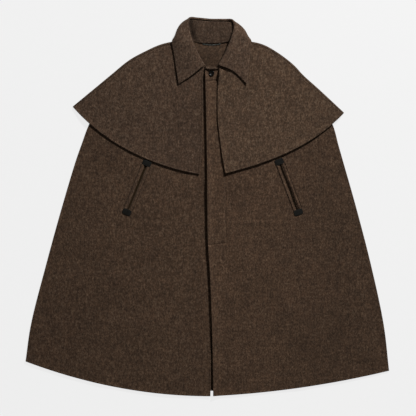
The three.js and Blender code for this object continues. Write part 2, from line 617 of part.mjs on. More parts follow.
add('cape_back', capeBackGeometry(), wool);
add('back', backGeometry(), wool);
const underFrontPanel = layPanel(underFrontPatch, FRONT_ACROSS, BODY_DOWN, underFront);
const overFrontPanel = layPanel(overFrontPatch, FRONT_ACROSS.map((u) => 1 - u).reverse(), BODY_DOWN, underOverFront);
add('front_under', withPocketSlot(underFrontPanel, POCKETS[0]), wool);
add('front_over', withPocketSlot(overFrontPanel, POCKETS[1]), wool);
add('cape_front_left', layPanel(capeLeftPatch(), CAPE_ACROSS, CAPE_DOWN, (x, y, u, v) => underCapeLeft(x, y, v)), wool);
add('cape_front_right', layPanel(capeRightPatch(), CAPE_ACROSS.map((u) => 1 - u).reverse(), CAPE_DOWN,
  (x, y, u, v) => underCapeRight(x, y, v)), wool);
add('collar_band', collarBandGeometry(), wool);
add('collar_fall', collarFallGeometry(), wool);
POCKETS.forEach((pocket) => {
  const underPanel = pocket.name === 'left' ? underFront : underOverFront;
  add(`pocket_${pocket.name}_welt_inner`, weltGeometry(pocket, pocket.name === 'left' ? -1 : 1, underPanel), wool);
  add(`pocket_${pocket.name}_welt_outer`, weltGeometry(pocket, pocket.name === 'left' ? 1 : -1, underPanel), wool);
  add(`pocket_${pocket.name}_tab_top`, tabGeometry(pocket, 'top', underPanel), leather);
  add(`pocket_${pocket.name}_tab_foot`, tabGeometry(pocket, 'foot', underPanel), leather);
});
const button = add('button', buttonGeometry(), horn);
button.position.set(BUTTON.x, BUTTON.y, underOverFront(BUTTON.x, BUTTON.y) + CLOTH + SEAM_GAP);
add('hang_loop', hangLoopGeometry(), tape);

export default coat;
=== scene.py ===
import math

import bpy
import numpy as np
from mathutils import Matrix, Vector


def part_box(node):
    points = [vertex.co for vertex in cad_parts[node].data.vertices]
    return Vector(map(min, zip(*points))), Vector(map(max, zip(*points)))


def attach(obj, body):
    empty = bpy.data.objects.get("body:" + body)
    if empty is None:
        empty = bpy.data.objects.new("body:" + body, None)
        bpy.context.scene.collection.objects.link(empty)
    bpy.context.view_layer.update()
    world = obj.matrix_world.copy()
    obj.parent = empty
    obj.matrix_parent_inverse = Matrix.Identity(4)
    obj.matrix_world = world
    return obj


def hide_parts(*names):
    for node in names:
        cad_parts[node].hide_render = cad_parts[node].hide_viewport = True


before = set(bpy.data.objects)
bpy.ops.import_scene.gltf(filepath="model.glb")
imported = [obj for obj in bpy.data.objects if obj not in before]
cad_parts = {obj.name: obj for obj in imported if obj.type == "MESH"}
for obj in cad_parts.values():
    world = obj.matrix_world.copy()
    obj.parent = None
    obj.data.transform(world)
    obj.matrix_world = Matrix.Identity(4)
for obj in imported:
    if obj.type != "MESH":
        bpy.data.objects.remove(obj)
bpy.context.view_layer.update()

# The back cape is one layer of heavy woollen coating. It lies face down on the surface, under the cloak, and is
# rolled up over both shoulders to the shoulder seams of the cape. All sizes here are millimetres, as cut, with the
# coat's middle at zero and the collar towards +Y.
MM = 0.001
CLOTH = 2.4
GAP = 0.3
LAYER = CLOTH + GAP
CAPE_SHOULDER_LEFT = [(-70.5, 485), (-133, 471.5), (-180, 451), (-227, 425), (-280, 382), (-309, 358),
                      (-391, 290.5)]
CAPE_SHOULDER_RIGHT = [(91.9, 485), (159, 471.5), (205, 446.5), (251, 411), (278, 382), (323, 341.5), (397, 272.5)]
NECK_MIDDLE, NECK_FRONT = 10.7, 406
CAPE_BACK_DROP = (3, -113.5)
BACK_RAMP, OVERLAP_RAMP, CAPE_OVERLAP_RAMP, CAPE_RAMP = (14, 70), (8, 34), (18, 72), (12, 50)  # start and length
SIDE_LOFT, SIDE_LOFT_WIDTH = 1.1, 45
CAPE_HEM_LIFT = {"left": 0.9, "right": 2.1}
SHOULDER_STRIP = (7.5, 3)  # how much of it shows in front of the shoulder fold, at the neck and at the tip
WOOL_DARK = (0.0188, 0.0115, 0.0068)
WOOL_MID = (0.0480, 0.0293, 0.0187)
WOOL_LIGHT = (0.0935, 0.0685, 0.0495)


def smooth(t):
    t = np.clip(t, 0, 1)
    return t * t * (3 - 2 * t)


def line_through(points, even=True):
    """A drawn line through marked points: t runs from 0 to 1, evenly along it or from mark to mark."""
    p = np.array(points, float)
    p = np.vstack([2 * p[0] - p[1], p, 2 * p[-1] - p[-2]])
    s = np.linspace(0, 1, 40, endpoint=False)[:, None]
    runs = []
    for a, b, c, d in zip(p, p[1:], p[2:], p[3:]):
        ta, tb, tc = (math.sqrt(math.dist(q, r)) for q, r in ((a, b), (b, c), (c, d)))
        m1 = ((b - a) / ta - (c - a) / (ta + tb) + (c - b) / tb) * tb
        m2 = ((c - b) / tb - (d - b) / (tb + tc) + (d - c) / tc) * tb
        runs.append((2 * s**3 - 3 * s**2 + 1) * b + (s**3 - 2 * s**2 + s) * m1
                    + (3 * s**2 - 2 * s**3) * c + (s**3 - s**2) * m2)
    dense = np.vstack([*runs, p[-2]])
    steps = np.hypot(*np.diff(dense[:, :2], axis=0).T) if even else np.ones(len(dense) - 1)
    at = np.concatenate([[0], np.cumsum(steps)]) / steps.sum()
    return lambda t: np.stack([np.interp(t, at, dense[:, k]) for k in range(dense.shape[1])], -1)


def bend(*marks):
    """A curve from the first mark to the last that the ones between pull towards themselves."""
    p = np.array(marks, float)
    n = len(p) - 1

    def at(t):
        t = np.asarray(t, float)[..., None]
        return sum(math.comb(n, k) * (1 - t) ** (n - k) * t**k * p[k] for k in range(n + 1))
    return at


def cut_panel(top, bottom, left, right):
    """A four-sided panel between its edge lines: (u, v) runs across and down it."""
    def pinned(curve, start, end):
        first, last = start - curve(0.0), end - curve(1.0)
        return lambda t: curve(t) + (1 - t)[..., None] * first + t[..., None] * last
    corners = left(0.0), right(0.0), left(1.0), right(1.0)
    top, bottom = pinned(top, corners[0], corners[1]), pinned(bottom, corners[2], corners[3])

    def at(u, v):
        a, b = u[..., None], v[..., None]
        return (top(u) * (1 - b) + bottom(u) * b + left(v) * (1 - a) + right(v) * a
                - corners[0] * (1 - a) * (1 - b) - corners[1] * a * (1 - b) - corners[2] * (1 - a) * b
                - corners[3] * a * b)
    return at


def off_line(line, outer):
    """How far points lie from a line, positive on its outer side: 1 is to the left of its way, -1 to the right."""
    p = line(np.linspace(0, 1, 161))
    a, way = p[:-1], np.diff(p, axis=0)

    def at(x, y):
        x, y = np.broadcast_arrays(np.asarray(x, float), np.asarray(y, float))
        out = np.empty(x.size)
        flat = np.stack([x.ravel(), y.ravel()], -1)
        for start in range(0, len(flat), 8192):
            d = flat[start:start + 8192, None] - a
            along = np.clip((d * way).sum(-1) / (way**2).sum(-1), 0, 1)
            gap = np.hypot(*np.moveaxis(d - along[..., None] * way, -1, 0))
            k = gap.argmin(1)
            r = np.arange(len(k))
            side = np.sign(way[k, 0] * d[r, k, 1] - way[k, 1] * d[r, k, 0])
            out[start:start + 8192] = gap[r, k] * side * outer
        return out.reshape(x.shape)
    return at


SEAM_AT = 6  # the place among steps_between's steps where the edge stitching runs


def steps_between(length, middle, close_at=()):
    """Places across each length: close together at its ends, where an edge is rolled and sewn, and at the places
    named in close_at, and even between."""
    length = np.asarray(length, float)[..., None]
    near = np.array([0, 0.35, 0.9, 1.7, 2.9, 4.1, 5, 5.9, 7.2, 10, 14, 19]) * np.minimum(1, length / 60)
    between = np.arange(1, middle + 1) / (middle + 1)
    inner = near[..., -1:] + (length - 2 * near[..., -1:]) * between
    for place in close_at:
        extra = place + np.array([-3.6, -2.2, -1, 0, 1, 2.2, 3.6])
        inner = np.sort(np.concatenate([inner, extra + 0 * length], -1), -1)
    return np.concatenate([near, inner, length - near[..., ::-1]], -1)


def panel_grid(panel, pitch, close_across=(), close_down=()):
    """Points all over a panel: their u and v, and how far each is from the left, right, top and bottom edges."""
    t = np.linspace(0, 1, 60)
    u, v = np.meshgrid(t, t)
    p = panel(u, v)
    height = np.hypot(*np.moveaxis(np.diff(p, axis=0), -1, 0)).sum(0)
    width = np.hypot(*np.moveaxis(np.diff(p, axis=1), -1, 0)).sum(1)
    across, down = int(width.max() / pitch), int(height.max() / pitch)
    nominal = steps_between(width.mean(), across, close_across) / width.mean()
    h = np.interp(nominal, t, height)
    v = (steps_between(h, down, close_down) / h[:, None]).T
    w = np.interp(v, t, width)
    u = np.stack([steps_between(w[:, i], across, close_across)[:, i] for i in range(v.shape[1])], 1) / w
    h = np.interp(u, t, height)
    return u, v, {"left": u * w, "right": (1 - u) * w, "top": v * h, "bottom": (1 - v) * h}


def make_piece(name, points, faces, material):
    mesh = bpy.data.meshes.new(name)
    mesh.from_pydata((np.asarray(points, float) * MM).tolist(), [], [list(map(int, f)) for f in faces])
    mesh.polygons.foreach_set("use_smooth", [True] * len(mesh.polygons))
    mesh.materials.append(material)
    mesh.update()
    piece = bpy.data.objects.new(name, mesh)
    bpy.context.scene.collection.objects.link(piece)
    return piece


def shell(name, face, back, material):
    """A closed piece of cloth between two grids of points that meet along their edges."""
    rows, cols = face.shape[:2]
    number = np.arange(rows * cols).reshape(rows, cols)
    under = number + rows * cols
    rim = np.ones((rows, cols), bool)
    rim[1:-1, 1:-1] = False
    under[rim] = number[rim]
    points = np.vstack([face.reshape(-1, 3), back.reshape(-1, 3)])
    points[number[rim]] = (face[rim] + back[rim]) / 2
    kept = np.unique(np.concatenate([number.ravel(), under.ravel()]))
    renumber = np.zeros(len(points), int)
    renumber[kept] = np.arange(len(kept))

    def quads(n):
        return np.stack([n[:-1, :-1], n[1:, :-1], n[1:, 1:], n[:-1, 1:]], -1).reshape(-1, 4)
    faces = renumber[np.vstack([quads(number), quads(under)[:, ::-1]])]
    return make_piece(name, points[kept], faces, material)


ROLL_REACH = 1.5


def rolled(distance, thickness=CLOTH):
    """How far a face drops towards the middle of the cloth where the edge is rounded."""
    near = np.clip(1 - distance / ROLL_REACH, 0, 1)
    return thickness / 2 * (1 - np.sqrt(1 - near**2))


def hump(distance, at, width):
    """1 at a place, and softly down to 0 on both sides of it."""
    return np.exp(-((distance - at) / width) ** 2)


def sewn(distance):
    """The pressed ridge along a turned edge, and the dip that its stitching pulls in."""
    return 1.5 * hump(distance, 2, 3.9) - 0.55 * hump(distance, 5, 1.1)


def lay(name, panel, under, pitch, material, relief=None, sewn_edges=(), curls=(), rows=()):
    """Lays a panel on what is under it, and gives the piece, its upper face and the paths of its rows of sewing. A
    curl is an edge, how high it stands off at a place, and how far in. A row of sewing is the edge that it runs
    along, how far in, the edge that it starts from, and where it starts and ends."""
    close = {edge: [row[1] for row in rows if row[0] == edge] for edge in ("left", "top")}
    u, v, away = panel_grid(panel, pitch, close["left"], close["top"])
    p = panel(u, v)
    x, y = p[..., 0], p[..., 1]
    low = under(x, y, v)
    for edge, height, reach in curls:
        low = low + height(x, y) * hump(away[edge], 0, reach)
    high = low + CLOTH
    if relief:
        high = high + relief(x, y)
    for edge in sewn_edges:
        high = high + sewn(away[edge])
    for edge, at, across, start, end in rows:
        ends = smooth((away[across] - start + 2) / 4) * smooth((end + 2 - away[across]) / 4)
        past = (away[edge] - at) * (1 if edge == "top" else -1)
        high = high + ends * (0.8 * hump(past, 5, 2.8) - 2.3 * hump(past, 0, 2.4) - 0.4 * hump(past, -6, 5))
    nearest = np.minimum.reduce(list(away.values()))
    high, low = high - rolled(nearest), low + rolled(nearest)
    face, back = np.dstack([x, y, high]), np.dstack([x, y, low])
    paths = []
    for edge, at, across, start, end in rows:
        line = np.abs(away[edge] - at).mean(0 if edge == "left" else 1).argmin()
        pick = (slice(None), line) if edge == "left" else (line, slice(None))
        inside = (away[across][pick] >= start) & (away[across][pick] <= end)
        paths.append(face[pick][inside])
    return shell(name, face, back, material), face, paths


def stitches(name, paths, material, pitch=4.3, length=3.1, width=0.75, rise=0.28):
    """Rows of lockstitch along paths of points, each stitch a small rounded bar pulled into the cloth."""
    ring = np.array([(-1, 0), (0, 1), (1, 0), (0, -1)], float)
    shape = np.vstack([[(-0.5, 0, -0.9)]] + [[(a, w * 0.5, h) for w, h in ring] for a in (-0.3, 0.3)]
                      + [[(0.5, 0, -0.9)]])
    faces = [(0, 1 + (k + 1) % 4, 1 + k) for k in range(4)]
    faces += [(1 + k, 1 + (k + 1) % 4, 5 + (k + 1) % 4, 5 + k) for k in range(4)]
    faces += [(9, 5 + k, 5 + (k + 1) % 4) for k in range(4)]
    points, polygons = [], []
    for path in paths:
        path = np.asarray(path, float)
        run = np.concatenate([[0], np.cumsum(np.linalg.norm(np.diff(path, axis=0), axis=1))])
        for s in np.arange(pitch, run[-1] - pitch / 2, pitch):
            a, b = (np.array([np.interp(q, run, path[:, k]) for k in range(3)]) for q in (s - 0.6, s + 0.6))
            way = (b - a) / np.linalg.norm(b - a)
            side = np.cross([0, 0, 1], way)
            up = np.cross(way, side)
            start = len(points) * 10
            points.append((a + b) / 2 + shape[:, :1] * length * way + shape[:, 1:2] * width * side
                          + shape[:, 2:] * rise * up)
            polygons += [tuple(start + k for k in f) for f in faces]
    return make_piece(name, np.vstack(points), polygons, material)


def new_finish(name):
    """A new material, the place on the piece, and three tools: one adds a node, one a ramp of colours, and one sets
    or feeds the shader's inputs."""
    material = bpy.data.materials.new(name)
    material.use_nodes = True
    tree = material.node_tree

    def feed(node, inputs):
        for socket, value in inputs.items():
            if hasattr(value, "is_output"):
                tree.links.new(value, node.inputs[socket])
            else:
                node.inputs[socket].default_value = value

    def add(kind, inputs, output=0, **settings):
        node = tree.nodes.new("ShaderNode" + kind)
        for setting, value in settings.items():
            setattr(node, setting, value)
        feed(node, inputs)
        return node.outputs[output]

    def ramp(source, *stops):
        colours = tree.nodes.new("ShaderNodeValToRGB")
        while len(colours.color_ramp.elements) < len(stops):
            colours.color_ramp.elements.new(0.5)
        for element, (place, colour) in zip(colours.color_ramp.elements, stops):
            element.position, element.color = place, (*colour, 1)
        tree.links.new(source, colours.inputs["Fac"])
        return colours.outputs["Color"]

    where = add("TexCoord", {}, "Object")
    return material, where, add, ramp, lambda inputs: feed(tree.nodes["Principled BSDF"], inputs)


def wool(name, tone, seed, painted_light_ramp=None):
    """Felted mottled coating: dark, brown and tan fibres spun together, brushed along the coat's length. A painted
    light ramp brightens or darkens it between two places, given as the axis, where it starts and ends, and its
    shade at both; it stands in for the light's fall-off and for shade."""
    material, where, add, ramp, shader = new_finish(name)

    def noise(scale, stretch, detail, roughness, across=1):
        place = add("Mapping", {"Vector": where, "Location": (seed, seed * 0.7, seed * 0.3),
                                "Scale": (across, stretch, 1)})
        return add("TexNoise", {"Vector": place, "Scale": scale, "Detail": detail, "Roughness": roughness}, "Fac")

    def blend(kind, factor, a, b):
        return add("Mix", {0: factor, 6: a, 7: b}, 2, data_type="RGBA", blend_type=kind)

    def shade(source, low, dark, high, light):
        return ramp(source, (low, (dark,) * 3), (high, (light,) * 3))

    fibre_dark, fibre_mid, fibre_light = (tuple(np.multiply(c, tone)) for c in (WOOL_DARK, WOOL_MID, WOOL_LIGHT))
    yarn = ramp(noise(260, 0.62, 3, 0.7), (0.30, fibre_dark), (0.5, fibre_mid), (0.72, fibre_light))
    fibres = ramp(noise(760, 0.4, 2, 0.6), (0.28, (0.62,) * 3), (0.5, (1,) * 3), (0.74, (1.5,) * 3))
    flecks = shade(noise(410, 0.75, 1, 0.5), 0.69, 0, 0.75, 1)
    warp = shade(noise(150, 0.3, 1, 0.5), 0.3, 0.78, 0.7, 1.22)
    weft = shade(noise(140, 1, 1, 0.5, across=0.3), 0.3, 0.85, 0.7, 1.15)
    patches = ramp(noise(42, 0.7, 3, 0.6), (0.32, (0.96, 0.965, 0.975)), (0.68, (1.04, 1.035, 1.025)))
    nap = shade(noise(9, 0.6, 2, 0.5), 0.3, 0.93, 0.7, 1.07)
    colour = blend("MIX", flecks, blend("MULTIPLY", 0.75, yarn, fibres), (*fibre_light, 1))
    for turn in (warp, weft, patches, nap):
        colour = blend("MULTIPLY", 1.0, colour, turn)
    # Painted light and shade: the colour is multiplied by a smooth ramp along one axis of the piece.
    if painted_light_ramp:
        axis, start, end, first, last = painted_light_ramp
        reach = {0: add("SeparateXYZ", {"Vector": where}, axis), 1: start * MM, 2: end * MM, 3: first, 4: last}
        colour = blend("MULTIPLY", 1.0, colour, add("MapRange", reach, "Result", interpolation_type="SMOOTHSTEP"))
    fuzz = add("Bump", {"Height": noise(520, 0.6, 4, 0.7), "Strength": 0.45, "Distance": 0.0009}, "Normal")
    shader({"Base Color": colour, "Normal": fuzz, "Roughness": 0.95, "Specular IOR Level": 0.18,
            "Sheen Weight": 0.12, "Sheen Roughness": 0.6, "Sheen Tint": (0.55, 0.42, 0.32, 1)})
    return material


def thread(name, colour):
    material, where, add, ramp, shader = new_finish(name)
    wrap = add("TexNoise", {"Vector": where, "Scale": 900}, "Fac")
    tint = ramp(wrap, (0, [c * 0.7 for c in colour]), (1, [c * 1.35 for c in colour]))
    shader({"Base Color": tint, "Roughness": 0.8, "Specular IOR Level": 0.03})
    return material


def stand_for(piece, node, sewn_on=()):
    """The piece stands for its node, with what is sewn on it."""
    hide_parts(node)
    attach(piece, "root")
    for extra in sewn_on:
        extra.parent = piece


def declare(piece, node, sewn_on=()):
    """A sheet of cloth stands for its node, with what is sewn on it."""
    stand_for(piece, node, sewn_on)


body_left = line_through([(-68, 478), (-133, 463), (-183, 439), (-228, 407), (-270, 364), (-310, 305), (-344, 237),
                          (-365.5, 179), (-381, 135), (-420, 5), (-468, -169), (-512, -343), (-527.5, -449)])
body_right = line_through([(89.4, 478), (155, 462), (202, 435), (244, 400), (287, 354), (330, 298), (364, 237),
                           (380.5, 179), (393, 135), (430, 5), (475, -169), (512, -343), (527.5, -476)])
under_edge = line_through([(34, 406), (28, 0), (14, -300), (9, -550)])
off_body_left, off_body_right = off_line(body_left, -1), off_line(body_right, 1)
off_under_edge = off_line(under_edge, 1)
cape_left, cape_right = line_through(CAPE_SHOULDER_LEFT), line_through(CAPE_SHOULDER_RIGHT)
cape_back_hem = bend(cape_left(1.0), CAPE_BACK_DROP, cape_right(1.0))


def cape_back_cover(x, y):
    """1 where the cloak lies on the back cape, 0 where it lies on the surface."""
    tips = cape_left(1.0)[0], cape_right(1.0)[0]
    hem = cape_back_hem(np.clip((x - tips[0]) / (tips[1] - tips[0]), 0, 1))[..., 1]
    return 1 - smooth((hem - y - BACK_RAMP[0]) / BACK_RAMP[1])


def under_back(x, y):
    return LAYER * cape_back_cover(x, y)


def under_front(x, y):
    loft = SIDE_LOFT * smooth(-np.maximum(off_body_left(x, y), off_body_right(x, y)) / SIDE_LOFT_WIDTH)
    return under_back(x, y) + LAYER + loft


def under_over(x, y, ramp=OVERLAP_RAMP):
    return under_front(x, y) + LAYER * (1 - smooth((off_under_edge(x, y) - ramp[0]) / ramp[1]))


def under_cape(off_body, under_body, lift):
    def at(x, y, v):
        on_body = 1 - smooth((off_body(x, y) - CAPE_RAMP[0]) / CAPE_RAMP[1])
        return LAYER + (under_body(x, y) + lift * smooth((v - 0.7) / 0.3)) * on_body
    return at


under_cape_left = under_cape(off_body_left, under_front, CAPE_HEM_LIFT["left"])
under_cape_right = under_cape(off_body_right, lambda x, y: under_over(x, y, CAPE_OVERLAP_RAMP),
                              CAPE_HEM_LIFT["right"])


def shoulder_fold(line, outer, under):
    """The cape's fold at one station: where it is, the way in from it, the height of the front cape's face, and
    where the seam between the two capes lies."""
    def at(v):
        way = line(np.minimum(1, v + 0.01)) - line(np.maximum(0, v - 0.01))
        way /= np.linalg.norm(way, axis=-1, keepdims=True)
        inward = np.stack([way[..., 1] * outer, -way[..., 0] * outer], -1)
        point = line(v)
        strip = SHOULDER_STRIP[0] + (SHOULDER_STRIP[1] - SHOULDER_STRIP[0]) * v
        inside = point + inward * strip[..., None]
        height = under(inside[..., 0], inside[..., 1], v) + CLOTH
        return point, inward, height, np.maximum(strip, height / 2 + 0.4)
    return at


fold_left = shoulder_fold(cape_left, -1, under_cape_left)
fold_right = shoulder_fold(cape_right, 1, under_cape_right)


def shoulder_seam(fold):
    def at(v):
        v = np.asarray(v, float)
        point, inward, _, strip = fold(v)
        return point + inward * (strip + GAP)[..., None]
    return at


def back_cape_faces(stations=90, flat_steps=110, wrap_steps=12):
    v = np.concatenate([[0, 0.001, 0.003, 0.006], np.linspace(0.012, 0.988, stations), [0.994, 0.997, 0.999, 1]])
    neck = bend(cape_left(0.0), (NECK_MIDDLE, 467), cape_right(0.0))
    panel = cut_panel(neck, cape_back_hem, cape_left, cape_right)
    sides = []
    for fold in (fold_left, fold_right):
        point, inward, height, strip = fold(v)
        radius = (height - CLOTH) / 2
        centre = point + inward * (CLOTH / 2 + radius)[:, None]
        rows = {}
        for part, offset in (("inner", -CLOTH / 2), ("outer", CLOTH / 2)):
            rows[part] = [np.column_stack([point + inward * (strip - back_off)[:, None],
                                           height - CLOTH / 2 + offset * share])
                          for back_off, share in ((0, 0), (0, 0.55), (0.8, 1))]
            for k in range(wrap_steps + 1):
                angle = math.pi / 2 - math.pi * k / wrap_steps
                spoke = centre - inward * ((radius + offset) * math.cos(angle))[:, None]
                rows[part].append(np.column_stack([spoke, height / 2 + (radius + offset) * math.sin(angle)]))
        sides.append((rows, centre))
    u = np.linspace(0, 1, flat_steps + 2)[1:-1]
    uu, vv = np.meshgrid(u, v)
    p = panel(uu, vv)
    p += (sides[0][1] - panel(np.zeros_like(v), v))[:, None] * (1 - uu)[..., None]
    p += (sides[1][1] - panel(np.ones_like(v), v))[:, None] * uu[..., None]
    faces = []
    for part, z in (("inner", CLOTH), ("outer", 0.0)):
        left, right = (np.stack(rows[part], 1) for rows, _ in sides)
        faces.append(np.concatenate([left, np.dstack([p, np.full(uu.shape, z)]), right[:, ::-1]], 1))
    inner, outer = faces
    for rows in (slice(0, 4), slice(-4, None)):
        mid = (inner[rows] + outer[rows]) / 2
        share = np.array([0, 0.62, 0.86, 0.97])
        share = (share if rows.start == 0 else share[::-1])[:, None, None]
        inner[rows], outer[rows] = mid + (inner[rows] - mid) * share, mid + (outer[rows] - mid) * share
    return inner, outer


body_wool = wool("wool_body", (0.99, 0.93, 0.85), 3.1)
sewing_thread = thread("sewing_thread", (0.020, 0.0135, 0.0095))
inner, outer = back_cape_faces()
cape_back = shell("back_cape", inner, outer, body_wool)
declare(cape_back, "cape_back",
        [stitches("back_cape_shoulder_stitches", [outer[4:-4, 2], outer[4:-4, -3]], sewing_thread)])

# The cloak's back is the largest panel, one layer of coating from the neck seam to the hem. It lies on the back
# cape at the top and comes down to the surface below the cape's hem; its own hem is a little shorter than the
# fronts', so that a notch shows between them.
back_neck = bend(body_left(0.0), (NECK_MIDDLE, 484), body_right(0.0))
back_hem = bend(body_left(1.0), (0, -606), body_right(1.0))


def throat_loft(x, y):
    """The back stands up a little inside the neck opening, where nothing holds it down."""
    inside = 1 - np.hypot((x - NECK_MIDDLE) / 76, (y - 478) / 72)
    return 5.5 * smooth(inside / 0.4) * smooth((472 - y) / 22)


# Painted shade: the back is darker towards the neck, down to 0.83 above Y 430, where it shows inside the neck
# opening under the collar.
back_wool = wool("wool_back", (0.98, 0.87, 0.74), 4.4, ("Y", 370, 430, 1, 0.83))
back, back_face, _ = lay("cloak_back", cut_panel(back_neck, back_hem, body_left, body_right),
                         lambda x, y, v: under_back(x, y) + throat_loft(x, y), 8, back_wool, sewn_edges=["bottom"])
declare(back, "back",
        [stitches("cloak_back_hem_stitches", [back_face[-1 - SEAM_AT]], sewing_thread)])

# The under front is the wearer's right half of the cloak. It lies on the back, joined to it at the side, and its
# front edge runs hidden under the other front. Pressed folds and the lower edge of the pocket bag show through it.
BODY_NECK, CAPE_NECK = (78.7, 478), (81.2, 485)  # half the width, and how far up its middle lies


def neck_oval(size, start, end):
    """The neckline from one angle to another."""
    half, top = size

    def at(t):
        angle = np.radians(start + (end - start) * np.asarray(t, float))
        return np.stack([NECK_MIDDLE + half * np.cos(angle), top + (top - NECK_FRONT) * np.sin(angle)], -1)
    return at


def soft_waves(seed, shortest, longest, height, count=16):
    """Low, uneven waves such as a cloth keeps after it is smoothed out by hand."""
    draw = np.random.default_rng(seed)
    lengths, turns = draw.uniform(shortest, longest, count), draw.uniform(0, math.pi, count)
    starts, shares = draw.uniform(0, 2 * math.pi, count), draw.uniform(0.4, 1, count)
    shares *= height / math.sqrt((shares**2).sum() / 2)

    def at(x, y):
        return sum(s * np.sin((x * math.cos(a) + y * math.sin(a)) * 2 * math.pi / n + p)
                   for n, a, p, s in zip(lengths, turns, starts, shares))
    return at


def soft_fold(marks, width, height):
    """A soft ridge, or a trough where the height is below zero, that fades out at both ends of its line."""
    marks = np.array(marks, float)
    a, way = marks[:-1], np.diff(marks, axis=0)
    long = np.linalg.norm(way, axis=1)
    before = np.concatenate([[0], np.cumsum(long)[:-1]])

    def at(x, y):
        best, place = np.full(x.shape, 1e9), np.zeros(x.shape)
        for start, step, size, run in zip(a, way, long, before):
            along = np.clip(((x - start[0]) * step[0] + (y - start[1]) * step[1]) / size**2, 0, 1)
            gap = np.hypot(x - start[0] - along * step[0], y - start[1] - along * step[1])
            nearer = gap < best
            best[nearer], place[nearer] = gap[nearer], (run + along * size)[nearer] / long.sum()
        return height * hump(best, 0, width) * np.sin(np.pi * np.clip(place, 0.04, 0.96)) ** 0.6
    return at


def cut_slot(piece, outline):
    """Cuts an upright hole of the given outline through a piece."""
    corners = len(outline)
    points = [(x, y, z) for z in (-30, 60) for x, y in outline]
    sides = [(k, (k + 1) % corners, corners + (k + 1) % corners, corners + k) for k in range(corners)]
    cutter = make_piece("pocket_cut", points, [*sides, range(corners)[::-1], range(corners, 2 * corners)],
                        body_wool)
    cut = piece.modifiers.new("pocket", "BOOLEAN")
    cut.object, cut.operation, cut.solver = cutter, "DIFFERENCE", "EXACT"
    whole = piece.data
    piece.data = bpy.data.meshes.new_from_object(piece.evaluated_get(bpy.context.evaluated_depsgraph_get()))
    piece.modifiers.clear()
    bpy.data.objects.remove(cutter)
    bpy.data.meshes.remove(whole)
    piece.data.name = piece.name


POCKETS = {"left": ((-177, 122), (-231.5, -10.8)), "right": ((210.5, 125.5), (262.3, -11.3))}
WELT_WIDTH, SLIT = 9.8, 6.0


def pocket_place(side):
    """A pocket's own measure: along its slit from the top end, and out across it."""
    top, foot = (np.array(p, float) for p in POCKETS[side])
    length = np.linalg.norm(foot - top)
    along = (foot - top) / length
    out = np.array([-along[1], along[0]])
    return length, lambda s, w: top + np.multiply.outer(s, along) + np.multiply.outer(w, out)


def cut_pocket(piece, side):
    length, at = pocket_place(side)
    half = SLIT / 2 + WELT_WIDTH
    near, far = -half - 2 * GAP, half + 2 * GAP
    cut_slot(piece, [at(-GAP, near), at(length + GAP, near), at(length + GAP, far), at(-GAP, far)])


body_waves = soft_waves(7, 70, 210, 0.55)
fronts_folds = [soft_fold(*fold) for fold in (  # the line, its width and its height
    ([(428, -70), (446, -150), (462, -230), (486, -320), (508, -410)], 13, -2.2),
    ([(405, -120), (425, -210), (446, -300), (470, -390)], 17, 1.3),
    ([(-486, -240), (-478, -320), (-452, -410)], 20, -1.6),
    ([(-440, -260), (-432, -340), (-410, -420)], 18, 0.9),
    ([(400, -440), (440, -462), (490, -470)], 16, -1.5),
    ([(-226, -36), (-137, -39), (-52, -42)], 3.6, -1.6),
    ([(-222, -46), (-137, -49), (-60, -52)], 8, 1.3),
    ([(80, -35), (150, -37), (228, -37)], 3.6, -1.6),
    ([(84, -45), (150, -47), (222, -46)], 8, 1.2),
    ([(26, -122), (44, -117), (60, -121)], 7, 0.9),
    ([(58, 35), (68, 12), (76, -22)], 8, -0.8),
    ([(-300, 120), (-318, 40), (-345, -60)], 22, 0.8),
    ([(330, 150), (346, 60), (372, -40)], 20, 0.8),
)]


def front_relief(x, y):
    """What shows on both fronts below the cape: nothing under the cape, where they lap or at the side seams."""
    edge = -np.maximum(off_body_left(x, y), off_body_right(x, y))
    clear = smooth((edge - 3) / 14) * smooth((170 - y) / 40)
    lapped = 1 - smooth((off_under_edge(x, y) + 30) / 20) * smooth((14 - off_under_edge(x, y)) / 12)
    total = body_waves(x, y) + sum(fold(x, y) for fold in fronts_folds)
    return total * clear * lapped


# Painted light: the under front is lighter towards its front edge (0.97 at X -380 up to 1.09 at X -30), for the
# light's fall-off towards the side.
front_wool = wool("wool_front_under", (1.03, 0.925, 0.815), 0.0, ("X", -380, -30, 0.97, 1.09))
under_hem = bend(body_left(1.0), (-260, -550), under_edge(1.0))
under_panel = cut_panel(neck_oval(BODY_NECK, 180, 287), under_hem, body_left, under_edge)
front_under, under_face, _ = lay("cloak_front_under", under_panel, lambda x, y, v: under_front(x, y), 4,
                                 front_wool, relief=front_relief, sewn_edges=["bottom", "right"])
cut_pocket(front_under, "left")
declare(front_under, "front_under",
        [stitches("cloak_front_under_stitches", [under_face[-1 - SEAM_AT]], sewing_thread)])

# The over front is the wearer's left half, lapped over the other. Its folded front edge hides a fly of several
# layers, so it stands off the under front, and the fly's end is sewn down with a row across and a row along it.
over_edge = line_through([(-7, 406), (-1.5, 135), (1, -98), (8, -213), (14, -387), (17, -549.5)])
off_over_edge = off_line(over_edge, 1)
FLY_ROWS = [("left", 54, "top", 290, 518), ("top", 518, "left", 2, 54), ("top", 43, "left", 4, 34)]


def fly_roll(x, y):
    """The roll that the hidden fly makes behind the front edge, fullest beside the button and flat at the hem."""
    along = smooth((399 - y) / 18) * (1 - 0.6 * smooth((-350 - y) / 150)) * (1 + 0.25 * hump(y, 20, 90))
    height, width = 7.8 + 3.5 * hump(y, 384, 14), 6.5 + 6.5 * smooth((384 - y) / 60)
    return height * hump(off_over_edge(x, y), 0, width) * along


def under_over_front(x, y):
    return under_over(x, y) + fly_roll(x, y)


def over_relief(x, y):
    return front_relief(x, y) + soft_fold([(28, 95), (29, 0), (30, -90)], 14, 0.8)(x, y)


